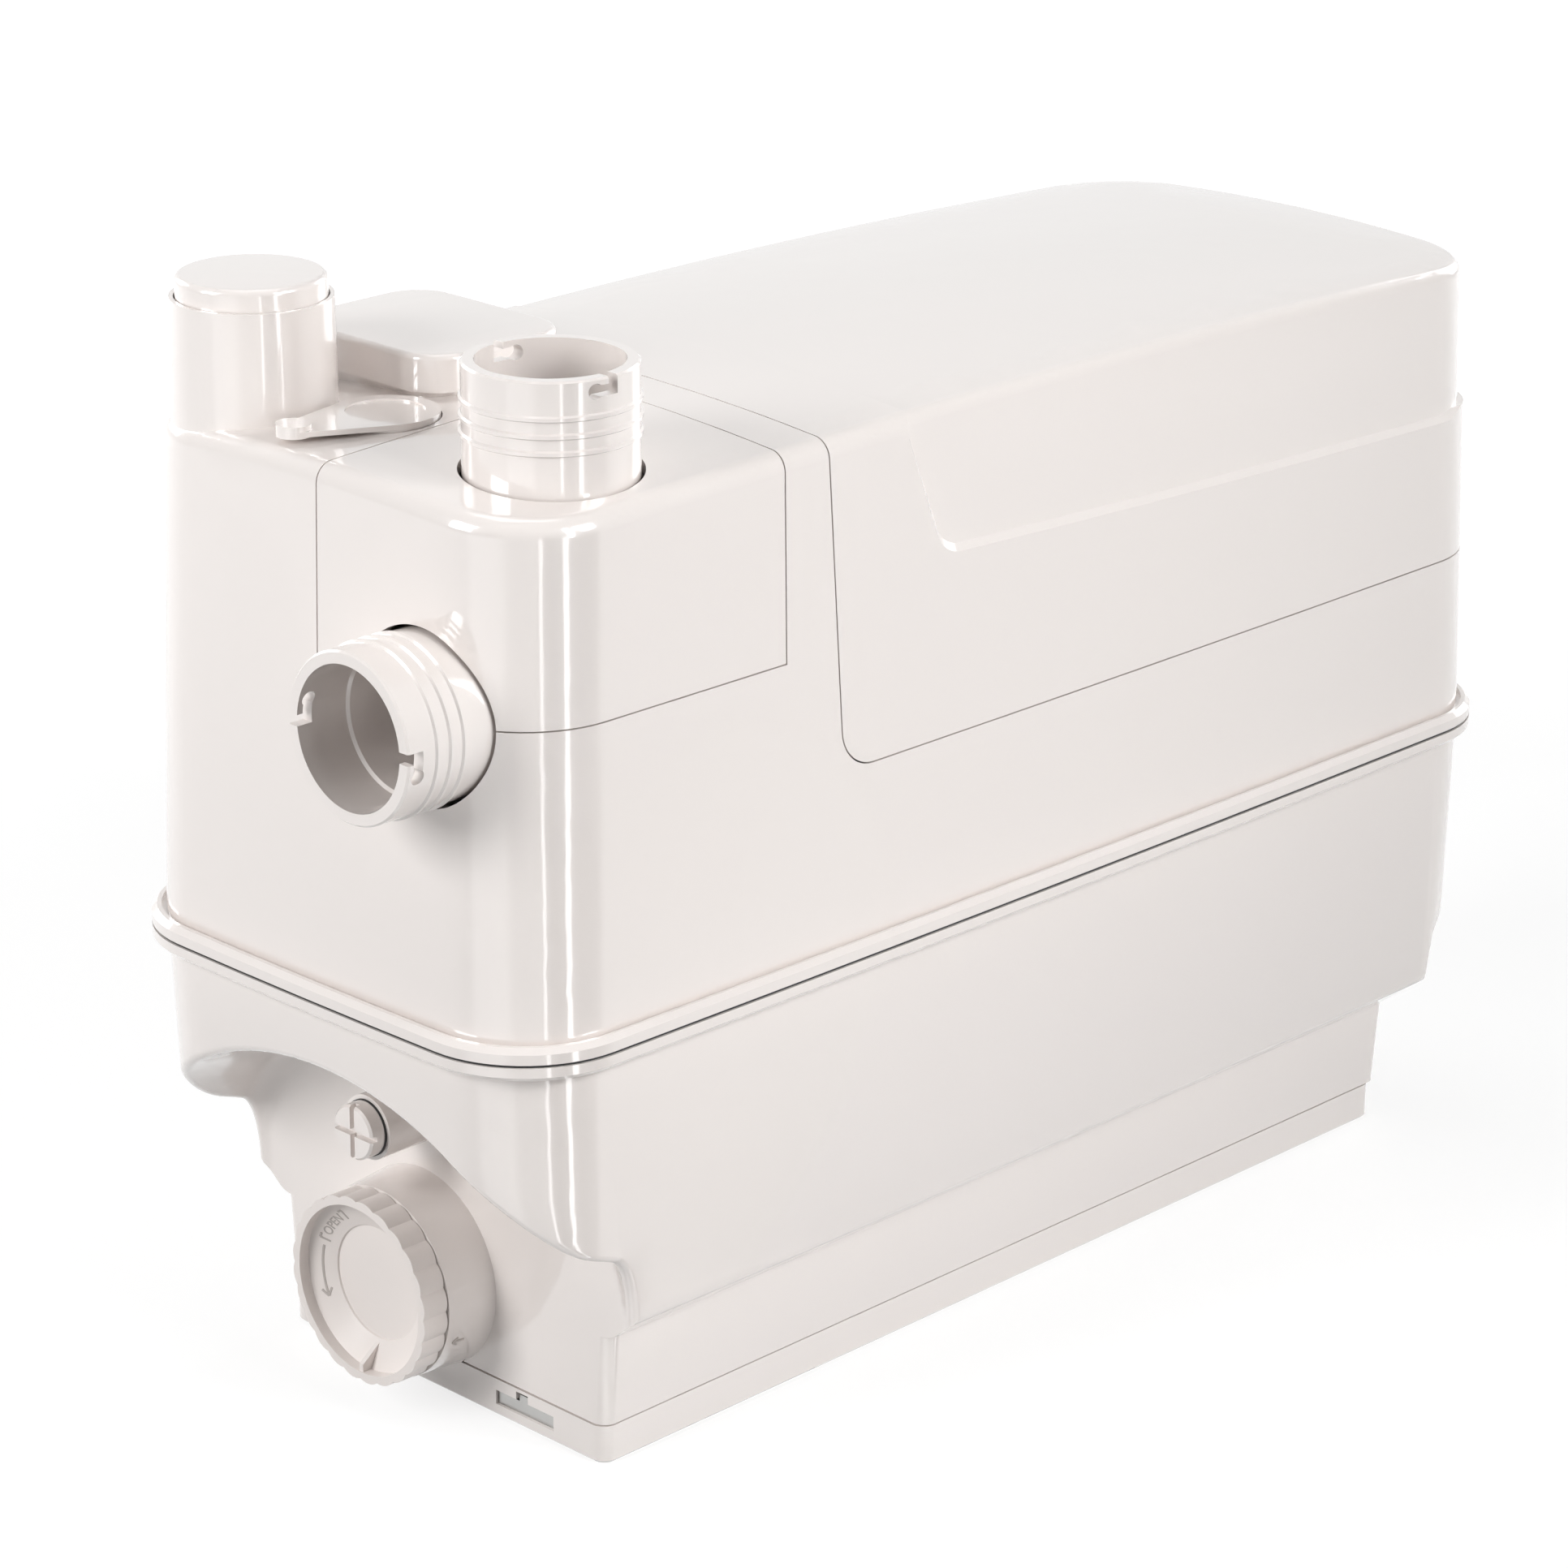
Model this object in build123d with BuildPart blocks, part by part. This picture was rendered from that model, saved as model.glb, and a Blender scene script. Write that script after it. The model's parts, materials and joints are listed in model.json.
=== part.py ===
"""Compact wastewater lifting station: a moulded tank with a pump, inlets and a capped riser.

Units are millimetres. +X runs along the length away from the inlet end, +Z is up, and the origin
lies on the floor under the middle of the rim where the tank meets the casing.
"""
from build123d import *
from math import cos, hypot, pi, radians, sin, tan
import os

# The plan at the rim, where the tank and the casing meet
RIM_HALF_X = 190.8
RIM_HALF_Y = 77.7
RIM_CORNER = 30.6
LIP_ROUND = 1.4
LIP_GROOVE = 1.2
LIP_GROOVE_DEEP = 1.1
BOW_END = 1.25
BOW_SIDE = 1.55

# Heights above the floor
FOOT_TOP = 11.0
LEDGE_IN_Z = 36.0
LEDGE_OUT_Z = 42.4
TANK_WALL_TOP = 118.0
SEAL_LOW = 121.7
SEAL_HIGH = 122.5
LIP_TOP = 126.5
HOOD_LOW = 171.4
ROOF_TOP = 260.9

# Casing walls
CASE_HALF_X = 186.9
CASE_HALF_Y = 74.2
CASE_CORNER = 27.0
DRAFT_X = tan(radians(1.5))
DRAFT_Y = tan(radians(1.0))
WALL = 3.0
ROOF_MID_X = -5.0
ROOF_LONG_R = 3700.0
ROOF_CROSS_R = 740.0
ROOF_EDGE_R = 5.0
ROOF_HALF = 90.0
ROOF_STATIONS = (-210.0, -108.0, -5.0, 98.0, 200.0)
PART_GAP = 0.4
PASS_GAP = 0.3
DECK_TOP = HOOD_LOW - PART_GAP / 2
DECK_LOW = DECK_TOP - WALL

# Tank
TANK_NEAR_X = 186.4
TANK_FAR_X = 187.4
TANK_HALF_Y = 73.2
TANK_CORNER = 25.5
TANK_DRAFT = 0.028
SHOULDER = [(70.0, 190.0), (66.5, 187.0), (65.0, 186.4), (62.0, 184.7), (59.0, 182.6),
            (56.5, 181.5), (45.0, 179.3), (43.2, 178.6), (42.0, 177.2), (34.0, 160.5)]
SHELF_FAR_X = 179.2
SHELF_INSET = 2.0
STEP_TOP_Z = 45.0
STEP_Z = 43.4
STEP_INSET = 0.7
ROOM_TURN_Z = 60.0
ROOM_TURN_FAR_X = 183.0
ROOM_LOW_Z = 46.5
SHOULDER_NEAR = 150.0
SHOULDER_CLEAR = 0.4
SHOULDER_ROOM = 60.0
RIM_BEVEL = 1.2
OVER = 5.0
BASE_NEAR_X = -148.4
BASE_FAR_X = 160.5
BASE_TOP_Y = 61.8
BASE_LOW_Y = 59.9
BASE_CORNER = 4.0
FOOT_FAR_X = 158.8
FOOT_HALF_Y = 59.6
FOOT_SEAM_HIGH = 0.6
FOOT_SEAM_DEEP = 1.5
TANK_FLOOR = 14.0
ARCH_BACK_Y = 72.6
ARCH_SPREAD = 0.21
ARCH_OUT_X = -208.0
ARCH_HALF_Z = 62.5
ARCH_MID_Z = 39.0
ARCH_LEG = 80.0
ARCH_COVE = 8.0
ARCH_EDGE = 2.2

# Low port, its cap and the drain plug on the end of the tank
PORT_Y = 6.5
PORT_Z = 33.8
PORT_ROOT_R = 26.9
PORT_TIP_R = 25.6
PORT_TIP_X = -163.0
PORT_BORE_R = 22.5
CAP_FRONT_X = -171.0
CAP_R = 25.0
CAP_WAVES = 24
CAP_WAVE = 0.35
CAP_BACK_X = -163.3
CAP_RIM_R = 22.8
CAP_DISC_R = 15.3
CAP_DISC_X = -164.0
GUSSET_FRONT_X = -170.6
GUSSET_LONG = 2.0
GUSSET_SINK = 0.6
GUSSET_THICK = 1.4
CAP_SKIRT_R = 22.2
CAP_SKIRT_X = -155.0
CAP_WEB = 2.5
CAP_SEAL_X = -158.0
CAP_SEAL_WIDE = 2.5
CAP_SEAL_R = 20.6
PLUG_Y = 6.0
PLUG_Z = 78.0
PLUG_R = 7.3
PLUG_FACE_X = -172.0
PLUG_BOSS_X = -167.0
PLUG_TAIL_X = -150.0
PLUG_WASHER = 0.6
WASHER_INSET = 1.1
PLUG_SLOT = 1.6
PLUG_SLOT_DEEP = 2.0
PLUG_BOSS_R = 8.6
PLUG_SHANK_R = 6.2
RUN_GAP = 0.04

# Floor slots
SLOT_Y = -30.5
SLOT_NOTCH_Y = -29.6
SLOT_WIDTH = 21.4
SLOT_LOW = 3.3
SLOT_HEIGHT = 4.0
SLOT_Z = SLOT_LOW + SLOT_HEIGHT / 2
SLOT_DEEP = 24.0
SLOT_NOTCH = 4.4
SLOT_NOTCH_HIGH = 2.2
FOOT_MID_X = (BASE_NEAR_X + FOOT_FAR_X) / 2
FOOT_LONG = FOOT_FAR_X - BASE_NEAR_X
FOOT_POCKET = 2.0
POCKET_PITCH = (74.0, 54.0)
POCKET_SIZE = (68.0, 48.0)
POCKET_CORNER = 3.0
FOOT_BEVEL = 0.8
CLIP_THICK = 1.5
CLIP_LONG = 22.0
CLIP_SET = 0.8
CLIP_HIGH = 3.4

# Inlet cover and hood, the two covers that lift off
SADDLE_FAR_X = -99.3
SADDLE_EDGE_Y = -2.3
SADDLE_LOW = 203.8
HOOD_TOP_X = -85.4
HOOD_FOOT_X = -79.7
HOOD_CORNER = 11.0
ZONE_TOP = 272.0
ZONE_FAR_X = 220.0
ZONE_HALF_Y = 100.0
PANEL_STEP = 1.6
PANEL_DROP = 0.3
PANEL_TOP_X = -57.0
PANEL_MID_X = -53.6
PANEL_MID_Z = 251.0
PANEL_FOOT_X = -41.0
PANEL_FOOT_Z = 222.6
PANEL_BEND_X = 162.0
PANEL_BEND_Z = 214.0
PANEL_FAR_Z = 212.4
PANEL_CORNER = 7.0
PANEL_SIDE_Y = 70.5
PANEL_FLARE = 5.0
POCKET_FLOOR = 176.0

# Inlets
SPIGOT_R = 21.2
SPIGOT_BORE_R = 18.0
SPIGOT_STEP_R = 17.3
SPIGOT_STEP = 15.0
SPIGOT_HOLE_R = 22.2
SPIGOT_RIDGES = (9.0, 13.2, 17.3)
RIDGE_R = 21.75
RIDGE_HALF = 0.8
HOOK_WIDE = 2.8
HOOK_DEEP = 4.5
HOOK_FOOT = 3.5
HOOK_EYE_R = 1.9
TEE_R = 24.5
BRANCH_R = 23.4
TEE_TOP = 244.0
TEE_END_X = -168.0
SOCKET = 14.0
END_SOCKET = 6.0
SOCKET_R = 21.4
RING_R = 19.8
RING_LOW = 1.5
RING_WIDE = 3.0
DROP_R = 21.0
DROP_LOW = 158.0
TOP_X = -147.5
INLET_Y = -43.5
TOP_RIM_Z = 283.5
END_Y = -38.2
END_Z = 202.9
END_RIM_X = -207.8

# Riser column, lever and vent cover on the roof
RISER_X = -162.0
RISER_Y = 47.0
RISER_FOOT_R = 20.7
RISER_BORE_R = 19.05
RISER_TOP = 284.5
RISER_TAPER = 1.0
RISER_CAP_R = 18.7
RISER_CAP_TOP = 290.0
RISER_CAP_LOW = 270.0
RISER_CAP_EDGE = 1.6
LEVER_X = -149.6
LEVER_Y = 12.9
LEVER_R = 13.4
LEVER_FLOOR = 253.0
LEVER_POCKET_R = 13.8
LEVER_SEAT_TOP = 256.4
LEVER_WALL = 1.1
SPINDLE_R = 4.0
SPINDLE_LOW = 209.0
SPINDLE_BOSS_R = 8.0
SPINDLE_BOSS_LOW = 238.0
LEVER_LOW = 253.2
LEVER_TOP = 258.9
ARM_LOW = 258.4
ARM_TOP = 259.7
TIP_X = -175.5
TIP_Y = 16.5
TIP_R = 4.4
TIP_TOP = 261.0
TIP_LOW = 258.0
CAM_LONG = 16.0
CAM_LOW = 211.0
CAM_TOP = 216.0
VENT_X = -111.8
VENT_Y = 39.7
VENT_SIZE_X = 47.0
VENT_SIZE_Y = 58.0
VENT_LOW = 260.0
VENT_TOP = 269.5
VENT_CORNER = 12.0
VENT_EDGE = 1.5
VENT_LIP = 2.5
VENT_COLLAR = 2.0
VENT_WELL = 5.0
VENT_WELL_LOW = 246.0
FILTER_TOP = 259.0

# Screws through the rim
SCREW_R = 2.5
SCREW_HOLE_R = 2.8
SCREW_SHANK_R = 2.4
SCREW_HEAD_R = 4.5
SCREW_HEAD = 3.6
SCREW_SLOT = 1.2
SCREW_BOSS_R = 6.5
SCREW_SINK_R = 4.9
SCREW_SINK = 4.0
SCREW_BOSS_LOW = 96.0
SCREW_SPOTS = [(x, side * 66.5) for x in (-62.0, 50.0, 158.0) for side in (-1, 1)]
SEAL_INSET = 0.6
SEAL_WIDE = 5.5

# Motor on the deck
MOTOR_X = 40.0
MOTOR_R = 46.0
MOTOR_SHELL = 2.5
MOTOR_FLANGE_R = 56.0
MOTOR_FLANGE = 3.8
MOTOR_SHOULDER = 236.0
MOTOR_TOP = 243.0
MOTOR_SCREW_R = 51.5
FINS = 16
FIN_THICK = 1.6
FIN_OUT = 3.0
BEARING_R = 14.0
BEARING_LOW = 229.5
BEARING_TOP = 237.5
BEARING_WALL = 3.5
STATOR_R = 25.0
STATOR_LOW = 182.0
STATOR_TOP = 226.0
ROTOR_R = 24.4
ROTOR_LOW = 184.0
ROTOR_TOP = 224.0
SHAFT_R = 6.0
SHAFT_LOW = 30.0
SHAFT_TOP = 238.0
SHAFT_HOLE_R = 10.0

# Pump in the tank
PUMP_COLUMN_R = 26.0
PUMP_BORE_R = 22.0
PUMP_FLANGE_R = 34.0
PUMP_FLANGE = 5.0
SEAL_SHELF = 150.0
FOOT_BEARING = 160.0
VOLUTE_R = 44.0
VOLUTE_ROOM_R = 38.0
VOLUTE_LOW = 24.0
VOLUTE_TOP = 50.0
VOLUTE_COVER = 4.0
EYE_R = 16.0
DUCT_Y = 30.0
DUCT_Z = 38.0
DUCT_END_X = -8.0
DUCT_R = 11.0
DUCT_BORE_R = 8.0
IMPELLER_R = 34.0
IMPELLER_LOW = 30.0
IMPELLER_TOP = 44.0
IMPELLER_BACK = 3.0
IMPELLER_HUB_R = 9.0
VANES = 6
VANE_THICK = 2.4
STRAINER_R = 30.0
STRAINER_WALL = 3.0
STRAINER_SLOTS = 16
STRAINER_SLOT = 4.0

# Discharge line and its return valve
PIPE_R = 13.0
PIPE_LOW_X = -58.0
PIPE_TURN_Z = 150.0
PIPE_BEND = 18.0
PIPE_LAP = 6.0
VALVE_LOW = 192.0
VALVE_TOP = 232.0
VALVE_R = 17.5
VALVE_ROOM_R = 15.0
VALVE_SEAT = 200.0
FLAP_R = 12.5
FLAP_LOW = 200.3
FLAP_TOP = 202.5
FLAP_PIN_R = 1.2
FLAP_PIN_Y = 34.2
FLAP_PIN_Z = 203.5
FLAP_PIN_HALF = 14.0
OUTLET_R = 12.5
OUTLET_BORE_R = 10.0
OUTLET_LOW = 228.0
OUTLET_TOP = 268.0

# Level switch and controls
BELL_X = 130.0
BELL_Y = 34.0
BELL_R = 10.0
BELL_LOW = 30.0
BELL_TOP = 62.0
BELL_WALL = 2.0
BELL_NECK_R = 5.0
BELL_NECK_BORE = 2.5
SWITCH_X = 26.0
SWITCH_Y = 22.0
SWITCH_TOP = 186.0
PLUNGER_R = 3.0
PLUNGER_LOW = 177.5
PLUNGER_TOP = 190.0
BOX_MID = (137.0, -22.0)
BOX_X = 66.0
BOX_Y = 60.0
BOX_TOP = 220.0
BOX_WALL = 2.5
BOX_LID = 4.0
BOARD_LOW = 182.0
BOARD_THICK = 1.6
CELL_X = -46.0
CELL_Y = -34.0
CELL_R = 17.0
CELL_TOP = 218.0
TERMINAL = 6.0

os.makedirs("parts", exist_ok=True)


def finish(part, name):
    """Label a finished piece and write it to its own file."""
    part.label = name
    export_step(part, f"parts/{name}.step")


def bowed(z, near_x, far_x, half_y, corner, bow_end=BOW_END, bow_side=BOW_SIDE):
    """A rounded rectangle with gently bowed sides, lying at height z."""
    middle = (far_x - near_x) / 2
    corners = [(-near_x, -half_y), (far_x, -half_y), (far_x, half_y), (-near_x, half_y)]
    crowns = [(middle, -half_y - bow_side), (far_x + bow_end, 0),
              (middle, half_y + bow_side), (-near_x - bow_end, 0)]
    with BuildSketch(Plane.XY.offset(z)) as plan:
        with BuildLine():
            for i in range(4):
                ThreePointArc(corners[i], crowns[i], corners[(i + 1) % 4])
        make_face()
        fillet(plan.vertices(), corner)
    return plan.sketch


def rim_plan(z, inset=0.0):
    """The rim's outline at height z."""
    return bowed(z, RIM_HALF_X - inset, RIM_HALF_X - inset, RIM_HALF_Y - inset, RIM_CORNER - inset)


def case_plan(z, inset=0.0):
    """The casing's outline at height z, drawn in by its draft."""
    half_x = CASE_HALF_X - (z - LIP_TOP) * DRAFT_X - inset
    half_y = CASE_HALF_Y - (z - LIP_TOP) * DRAFT_Y - inset
    return bowed(z, half_x, half_x, half_y, CASE_CORNER - inset)


def base_plan(z, half_y, inset=0.0, far_x=BASE_FAR_X):
    """The narrow lower part of the tank at height z."""
    corner = BASE_CORNER - min(inset, 2.5)
    return bowed(z, -BASE_NEAR_X - inset, far_x - inset, half_y - inset, corner, 0.1, 0.1)


def tank_plan(z, inset, far_x=TANK_FAR_X):
    """The wide upper part of the tank at height z."""
    fall = TANK_WALL_TOP - z
    near = TANK_NEAR_X - TANK_DRAFT * fall - inset
    half_y = TANK_HALF_Y - TANK_DRAFT * fall - inset
    return bowed(z, near, far_x - inset, half_y, TANK_CORNER - inset)


def casing_form(side, top):
    """The whole upper body as one solid, its walls drawn in by side and its roof lowered by top."""
    apex = ROOF_TOP - top
    drop = ROOF_HALF ** 2 / (2 * ROOF_CROSS_R)
    sections = []
    for x in ROOF_STATIONS:
        crown = apex - (x - ROOF_MID_X) ** 2 / (2 * ROOF_LONG_R)
        with BuildSketch(Plane.YZ.offset(x)) as section:
            with BuildLine():
                ThreePointArc((-ROOF_HALF, crown - drop), (0, crown), (ROOF_HALF, crown - drop))
                Polyline((ROOF_HALF, crown - drop), (ROOF_HALF, LIP_TOP - 15), (-ROOF_HALF, LIP_TOP - 15),
                         (-ROOF_HALF, crown - drop))
            make_face()
        sections.append(section.sketch)
    with BuildPart() as roof:
        loft(sections=sections)
    walls = [case_plan(SEAL_HIGH, side), case_plan(264.0, side)]
    with BuildPart() as form:
        loft(sections=walls, ruled=True)
        add(roof.part, mode=Mode.INTERSECT)
        rim = form.faces().sort_by(Axis.Z)[-1].edges()
        fillet(rim, ROOF_EDGE_R - min(side, 2.0))
    return form.part


def hood_zone(grow):
    """The room that the motor hood takes, seen from the side."""
    near_top = HOOD_TOP_X - grow
    near_foot = HOOD_FOOT_X - grow
    low = HOOD_LOW - grow
    with BuildPart() as zone:
        with BuildSketch(Plane.XZ) as side:
            with BuildLine():
                Polyline((near_top, ZONE_TOP), (near_foot, low), (ZONE_FAR_X, low),
                         (ZONE_FAR_X, ZONE_TOP), close=True)
            make_face()
            fillet(side.vertices().sort_by(Axis.Y)[:2].sort_by(Axis.X)[0], HOOD_CORNER + grow)
        extrude(amount=ZONE_HALF_Y, both=True)
    return zone.part


def panel_side(grow, y):
    """The outline of the hood's sunk side panel, grown outwards, lying at distance y from the middle."""
    with BuildSketch(Plane.XZ.offset(-y)) as side:
        with BuildLine():
            Polyline((PANEL_TOP_X - grow, ZONE_TOP), (PANEL_MID_X - grow, PANEL_MID_Z),
                     (PANEL_FOOT_X - grow, PANEL_FOOT_Z - grow),
                     (PANEL_BEND_X, PANEL_BEND_Z - grow), (ZONE_FAR_X, PANEL_FAR_Z - grow),
                     (ZONE_FAR_X, ZONE_TOP), close=True)
        make_face()
        foot = side.vertices().sort_by(Axis.X)[2]
        fillet(foot, PANEL_CORNER + grow)
    return side.sketch


def saddle_zone(grow, low=SADDLE_LOW):
    """The room that the inlet cover takes at the corner."""
    with BuildPart() as zone:
        with BuildSketch(Plane.XY.offset(low - grow)):
            with BuildLine():
                Polyline((-ZONE_FAR_X, -ZONE_HALF_Y), (SADDLE_FAR_X + grow, -ZONE_HALF_Y),
                         (SADDLE_FAR_X + grow, SADDLE_EDGE_Y + grow),
                         (-ZONE_FAR_X, SADDLE_EDGE_Y + grow), close=True)
            make_face()
        extrude(amount=ZONE_TOP - low)
    return zone.part


def arch_half(x):
    """Half the arch's width, which opens out towards the inlet end."""
    return ARCH_BACK_Y + (BASE_NEAR_X - x) * ARCH_SPREAD


def arch_tool(grow):
    """The arched recess under the inlet end, as a cutting solid."""
    with BuildPart() as tool:
        for x in (BASE_NEAR_X + grow, ARCH_OUT_X):
            with BuildSketch(Plane.YZ.offset(x)):
                with Locations((0, ARCH_MID_Z)):
                    Ellipse(arch_half(x) + grow, ARCH_HALF_Z + grow)
                with Locations((0, ARCH_MID_Z - ARCH_LEG / 2)):
                    Rectangle(2 * (arch_half(x) + grow), ARCH_LEG)
        loft(ruled=True)
        back = tool.faces().sort_by(Axis.X)[-1]
        fillet(back.edges().sort_by(Axis.Z)[-1], ARCH_COVE)
    return tool.part


def post(x, y, low, high, radius, bore=0.0):
    """An upright cylinder or tube."""
    with BuildPart() as shape:
        with BuildSketch(Plane.XY.offset(low)):
            with Locations((x, y)):
                Circle(radius)
                if bore:
                    Circle(bore, mode=Mode.SUBTRACT)
        extrude(amount=high - low)
    return shape.part


def reach(near_x, far_x, y, z, radius, bore=0.0):
    """A cylinder or tube that lies along X."""
    with BuildPart() as shape:
        with BuildSketch(Plane(origin=(near_x, y, z), z_dir=(1, 0, 0))):
            Circle(radius)
            if bore:
                Circle(bore, mode=Mode.SUBTRACT)
        extrude(amount=far_x - near_x)
    return shape.part


def turned(x, y, profile):
    """A solid turned round an upright line, from points of radius and height."""
    with BuildPart() as shape:
        with BuildSketch(Plane(origin=(x, y, 0), x_dir=(1, 0, 0), z_dir=(0, -1, 0))):
            with BuildLine():
                Polyline(*profile, close=True)
            make_face()
        revolve(axis=Axis((x, y, 0), (0, 0, 1)))
    return shape.part


def turned_along(y, z, profile):
    """A solid turned round a line along X, from points of X and radius."""
    with BuildPart() as shape:
        with BuildSketch(Plane(origin=(0, y, z), x_dir=(1, 0, 0), z_dir=(0, -1, 0))):
            with BuildLine():
                Polyline(*profile, close=True)
            make_face()
        revolve(axis=Axis((0, y, z), (1, 0, 0)))
    return shape.part


def spigot(length):
    """A hose spigot with its rim at the origin and its body running down, ridged and hook-slotted."""
    outline = [(SPIGOT_BORE_R, 0), (SPIGOT_R - 0.5, 0), (SPIGOT_R, -0.5)]
    for ridge in SPIGOT_RIDGES:
        outline += [(SPIGOT_R, RIDGE_HALF - ridge), (RIDGE_R, RIDGE_HALF / 2 - ridge),
                    (RIDGE_R, -RIDGE_HALF / 2 - ridge), (SPIGOT_R, -RIDGE_HALF - ridge)]
    ring_low = RING_LOW - length
    outline += [(SPIGOT_R, ring_low + RING_WIDE), (RING_R, ring_low + RING_WIDE), (RING_R, ring_low),
                (SPIGOT_R, ring_low), (SPIGOT_R, -length), (SPIGOT_STEP_R, -length),
                (SPIGOT_STEP_R, -SPIGOT_STEP - 0.7), (SPIGOT_BORE_R, -SPIGOT_STEP)]
    with BuildPart() as shape:
        add(turned(0, 0, outline))
        for way in (1, -1):
            with BuildSketch(Plane.XZ.offset(-way * 15)):
                with Locations((0, -HOOK_DEEP / 2)):
                    Rectangle(HOOK_WIDE, HOOK_DEEP)
                with Locations((way * HOOK_FOOT / 2, HOOK_WIDE / 2 - HOOK_DEEP)):
                    Rectangle(HOOK_WIDE + HOOK_FOOT, HOOK_WIDE)
                with Locations((way * (HOOK_WIDE / 2 + HOOK_FOOT), HOOK_WIDE / 2 - HOOK_DEEP)):
                    Circle(HOOK_EYE_R)
            extrude(amount=-way * 12, mode=Mode.SUBTRACT)
    return shape.part


def screw(x, y, head_low, tip):
    """A slotted screw with a round head."""
    with BuildPart() as shape:
        add(post(x, y, tip, head_low, SCREW_SHANK_R))
        add(post(x, y, head_low, head_low + SCREW_HEAD, SCREW_HEAD_R))
        with BuildSketch(Plane.XY.offset(head_low + SCREW_HEAD)):
            with Locations((x, y)):
                Rectangle(2 * SCREW_HEAD_R, SCREW_SLOT)
        extrude(amount=-SCREW_HEAD / 2, mode=Mode.SUBTRACT)
    return shape.part


outer_form = casing_form(0.0, 0.0)
inner_form = casing_form(WALL, WALL)

# Tank
shelf = tank_plan(LEDGE_OUT_Z, SHELF_INSET)
shelf_foot = base_plan(LEDGE_IN_Z, BASE_TOP_Y)
tank_walls = [tank_plan(TANK_WALL_TOP, 0), tank_plan(STEP_TOP_Z, 0), tank_plan(STEP_Z, STEP_INSET), shelf]
room_shelf = tank_plan(ROOM_LOW_Z, WALL, SHELF_FAR_X)
room_neck = base_plan(LEDGE_IN_Z + SHELF_INSET, BASE_TOP_Y, WALL)
room_walls = [tank_plan(SEAL_LOW, WALL), tank_plan(ROOM_TURN_Z, WALL, ROOM_TURN_FAR_X), room_shelf]
room_base = [room_neck, base_plan(TANK_FLOOR, BASE_LOW_Y, WALL)]
recess = arch_tool(0.0)
recess_skin = arch_tool(WALL)
shoulder_plans = [bowed(z, SHOULDER_NEAR, far, TANK_HALF_Y + SHOULDER_CLEAR, TANK_CORNER) for z, far in SHOULDER]

with BuildPart() as shoulder:
    loft(sections=shoulder_plans, ruled=True)

with BuildPart() as tank_room:
    loft(sections=room_walls, ruled=True)
    loft(sections=[room_shelf, room_neck], ruled=True)
    loft(sections=room_base, ruled=True)
    add(recess_skin, mode=Mode.SUBTRACT)

with BuildPart() as shoulder_waste:
    with BuildSketch(Plane.XY.offset(LEDGE_IN_Z)):
        with Locations((TANK_FAR_X - SHOULDER_ROOM / 2 + OVER, 0)):
            Rectangle(SHOULDER_ROOM, 2 * ZONE_HALF_Y)
    extrude(amount=SHOULDER[0][0] - LEDGE_IN_Z - OVER / 5)
    add(shoulder.part, mode=Mode.SUBTRACT)

port_end = Plane(origin=(BASE_NEAR_X + WALL, PORT_Y, PORT_Z), z_dir=(-1, 0, 0))
with BuildPart() as tank:
    loft(sections=tank_walls, ruled=True)
    loft(sections=[shelf, shelf_foot], ruled=True)
    loft(sections=[shelf_foot, base_plan(FOOT_TOP, BASE_LOW_Y)], ruled=True)
    add(recess, mode=Mode.SUBTRACT)
    arch_rim = tank.edges().filter_by(
        lambda edge: abs(hypot(edge.center().Y / arch_half(edge.center().X),
                               (edge.center().Z - ARCH_MID_Z) / ARCH_HALF_Z) - 1) < 0.05
        and edge.center().X < BASE_NEAR_X - ARCH_COVE and edge.center().Z > 50)
    fillet(arch_rim, ARCH_EDGE)
    add(shoulder_waste.part, mode=Mode.SUBTRACT)
    # Rim flange that carries the seal
    loft(sections=[rim_plan(TANK_WALL_TOP + RIM_BEVEL), rim_plan(SEAL_LOW)], ruled=True)
    loft(sections=[rim_plan(TANK_WALL_TOP, RIM_BEVEL), rim_plan(TANK_WALL_TOP + RIM_BEVEL)], ruled=True)
    add(tank_room.part, mode=Mode.SUBTRACT)
    # Low port stub, flared where it leaves the wall
    with BuildSketch(Plane(origin=(0, PORT_Y, PORT_Z), x_dir=(1, 0, 0), z_dir=(0, 1, 0))):
        with BuildLine():
            Polyline((BASE_NEAR_X, 0), (BASE_NEAR_X, PORT_ROOT_R), (PORT_TIP_X, PORT_TIP_R),
                     (PORT_TIP_X, 0), close=True)
        make_face()
    revolve(axis=Axis((0, PORT_Y, PORT_Z), (1, 0, 0)))
    with BuildSketch(port_end):
        Circle(PORT_BORE_R)
    extrude(amount=40, mode=Mode.SUBTRACT)
    # Boss that the drain plug screws into
    with BuildSketch(Plane(origin=(BASE_NEAR_X + WALL, PLUG_Y, PLUG_Z), z_dir=(-1, 0, 0))):
        Circle(PLUG_BOSS_R)
    extrude(amount=BASE_NEAR_X + WALL - PLUG_BOSS_X)
    with BuildSketch(Plane(origin=(BASE_NEAR_X + WALL, PLUG_Y, PLUG_Z), z_dir=(-1, 0, 0))):
        Circle(PLUG_SHANK_R + RUN_GAP)
    extrude(amount=40, mode=Mode.SUBTRACT)
    # Bosses inside the rim for the long screws
    with BuildSketch(Plane.XY.offset(SCREW_BOSS_LOW)):
        with Locations(*SCREW_SPOTS):
            Circle(SCREW_BOSS_R)
    extrude(amount=SEAL_LOW - SCREW_BOSS_LOW)
    with BuildSketch(Plane.XY.offset(SCREW_BOSS_LOW + 3)):
        with Locations(*SCREW_SPOTS):
            Circle(SCREW_R)
    extrude(amount=SEAL_LOW - SCREW_BOSS_LOW, mode=Mode.SUBTRACT)
finish(tank.part, "tank")

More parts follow.
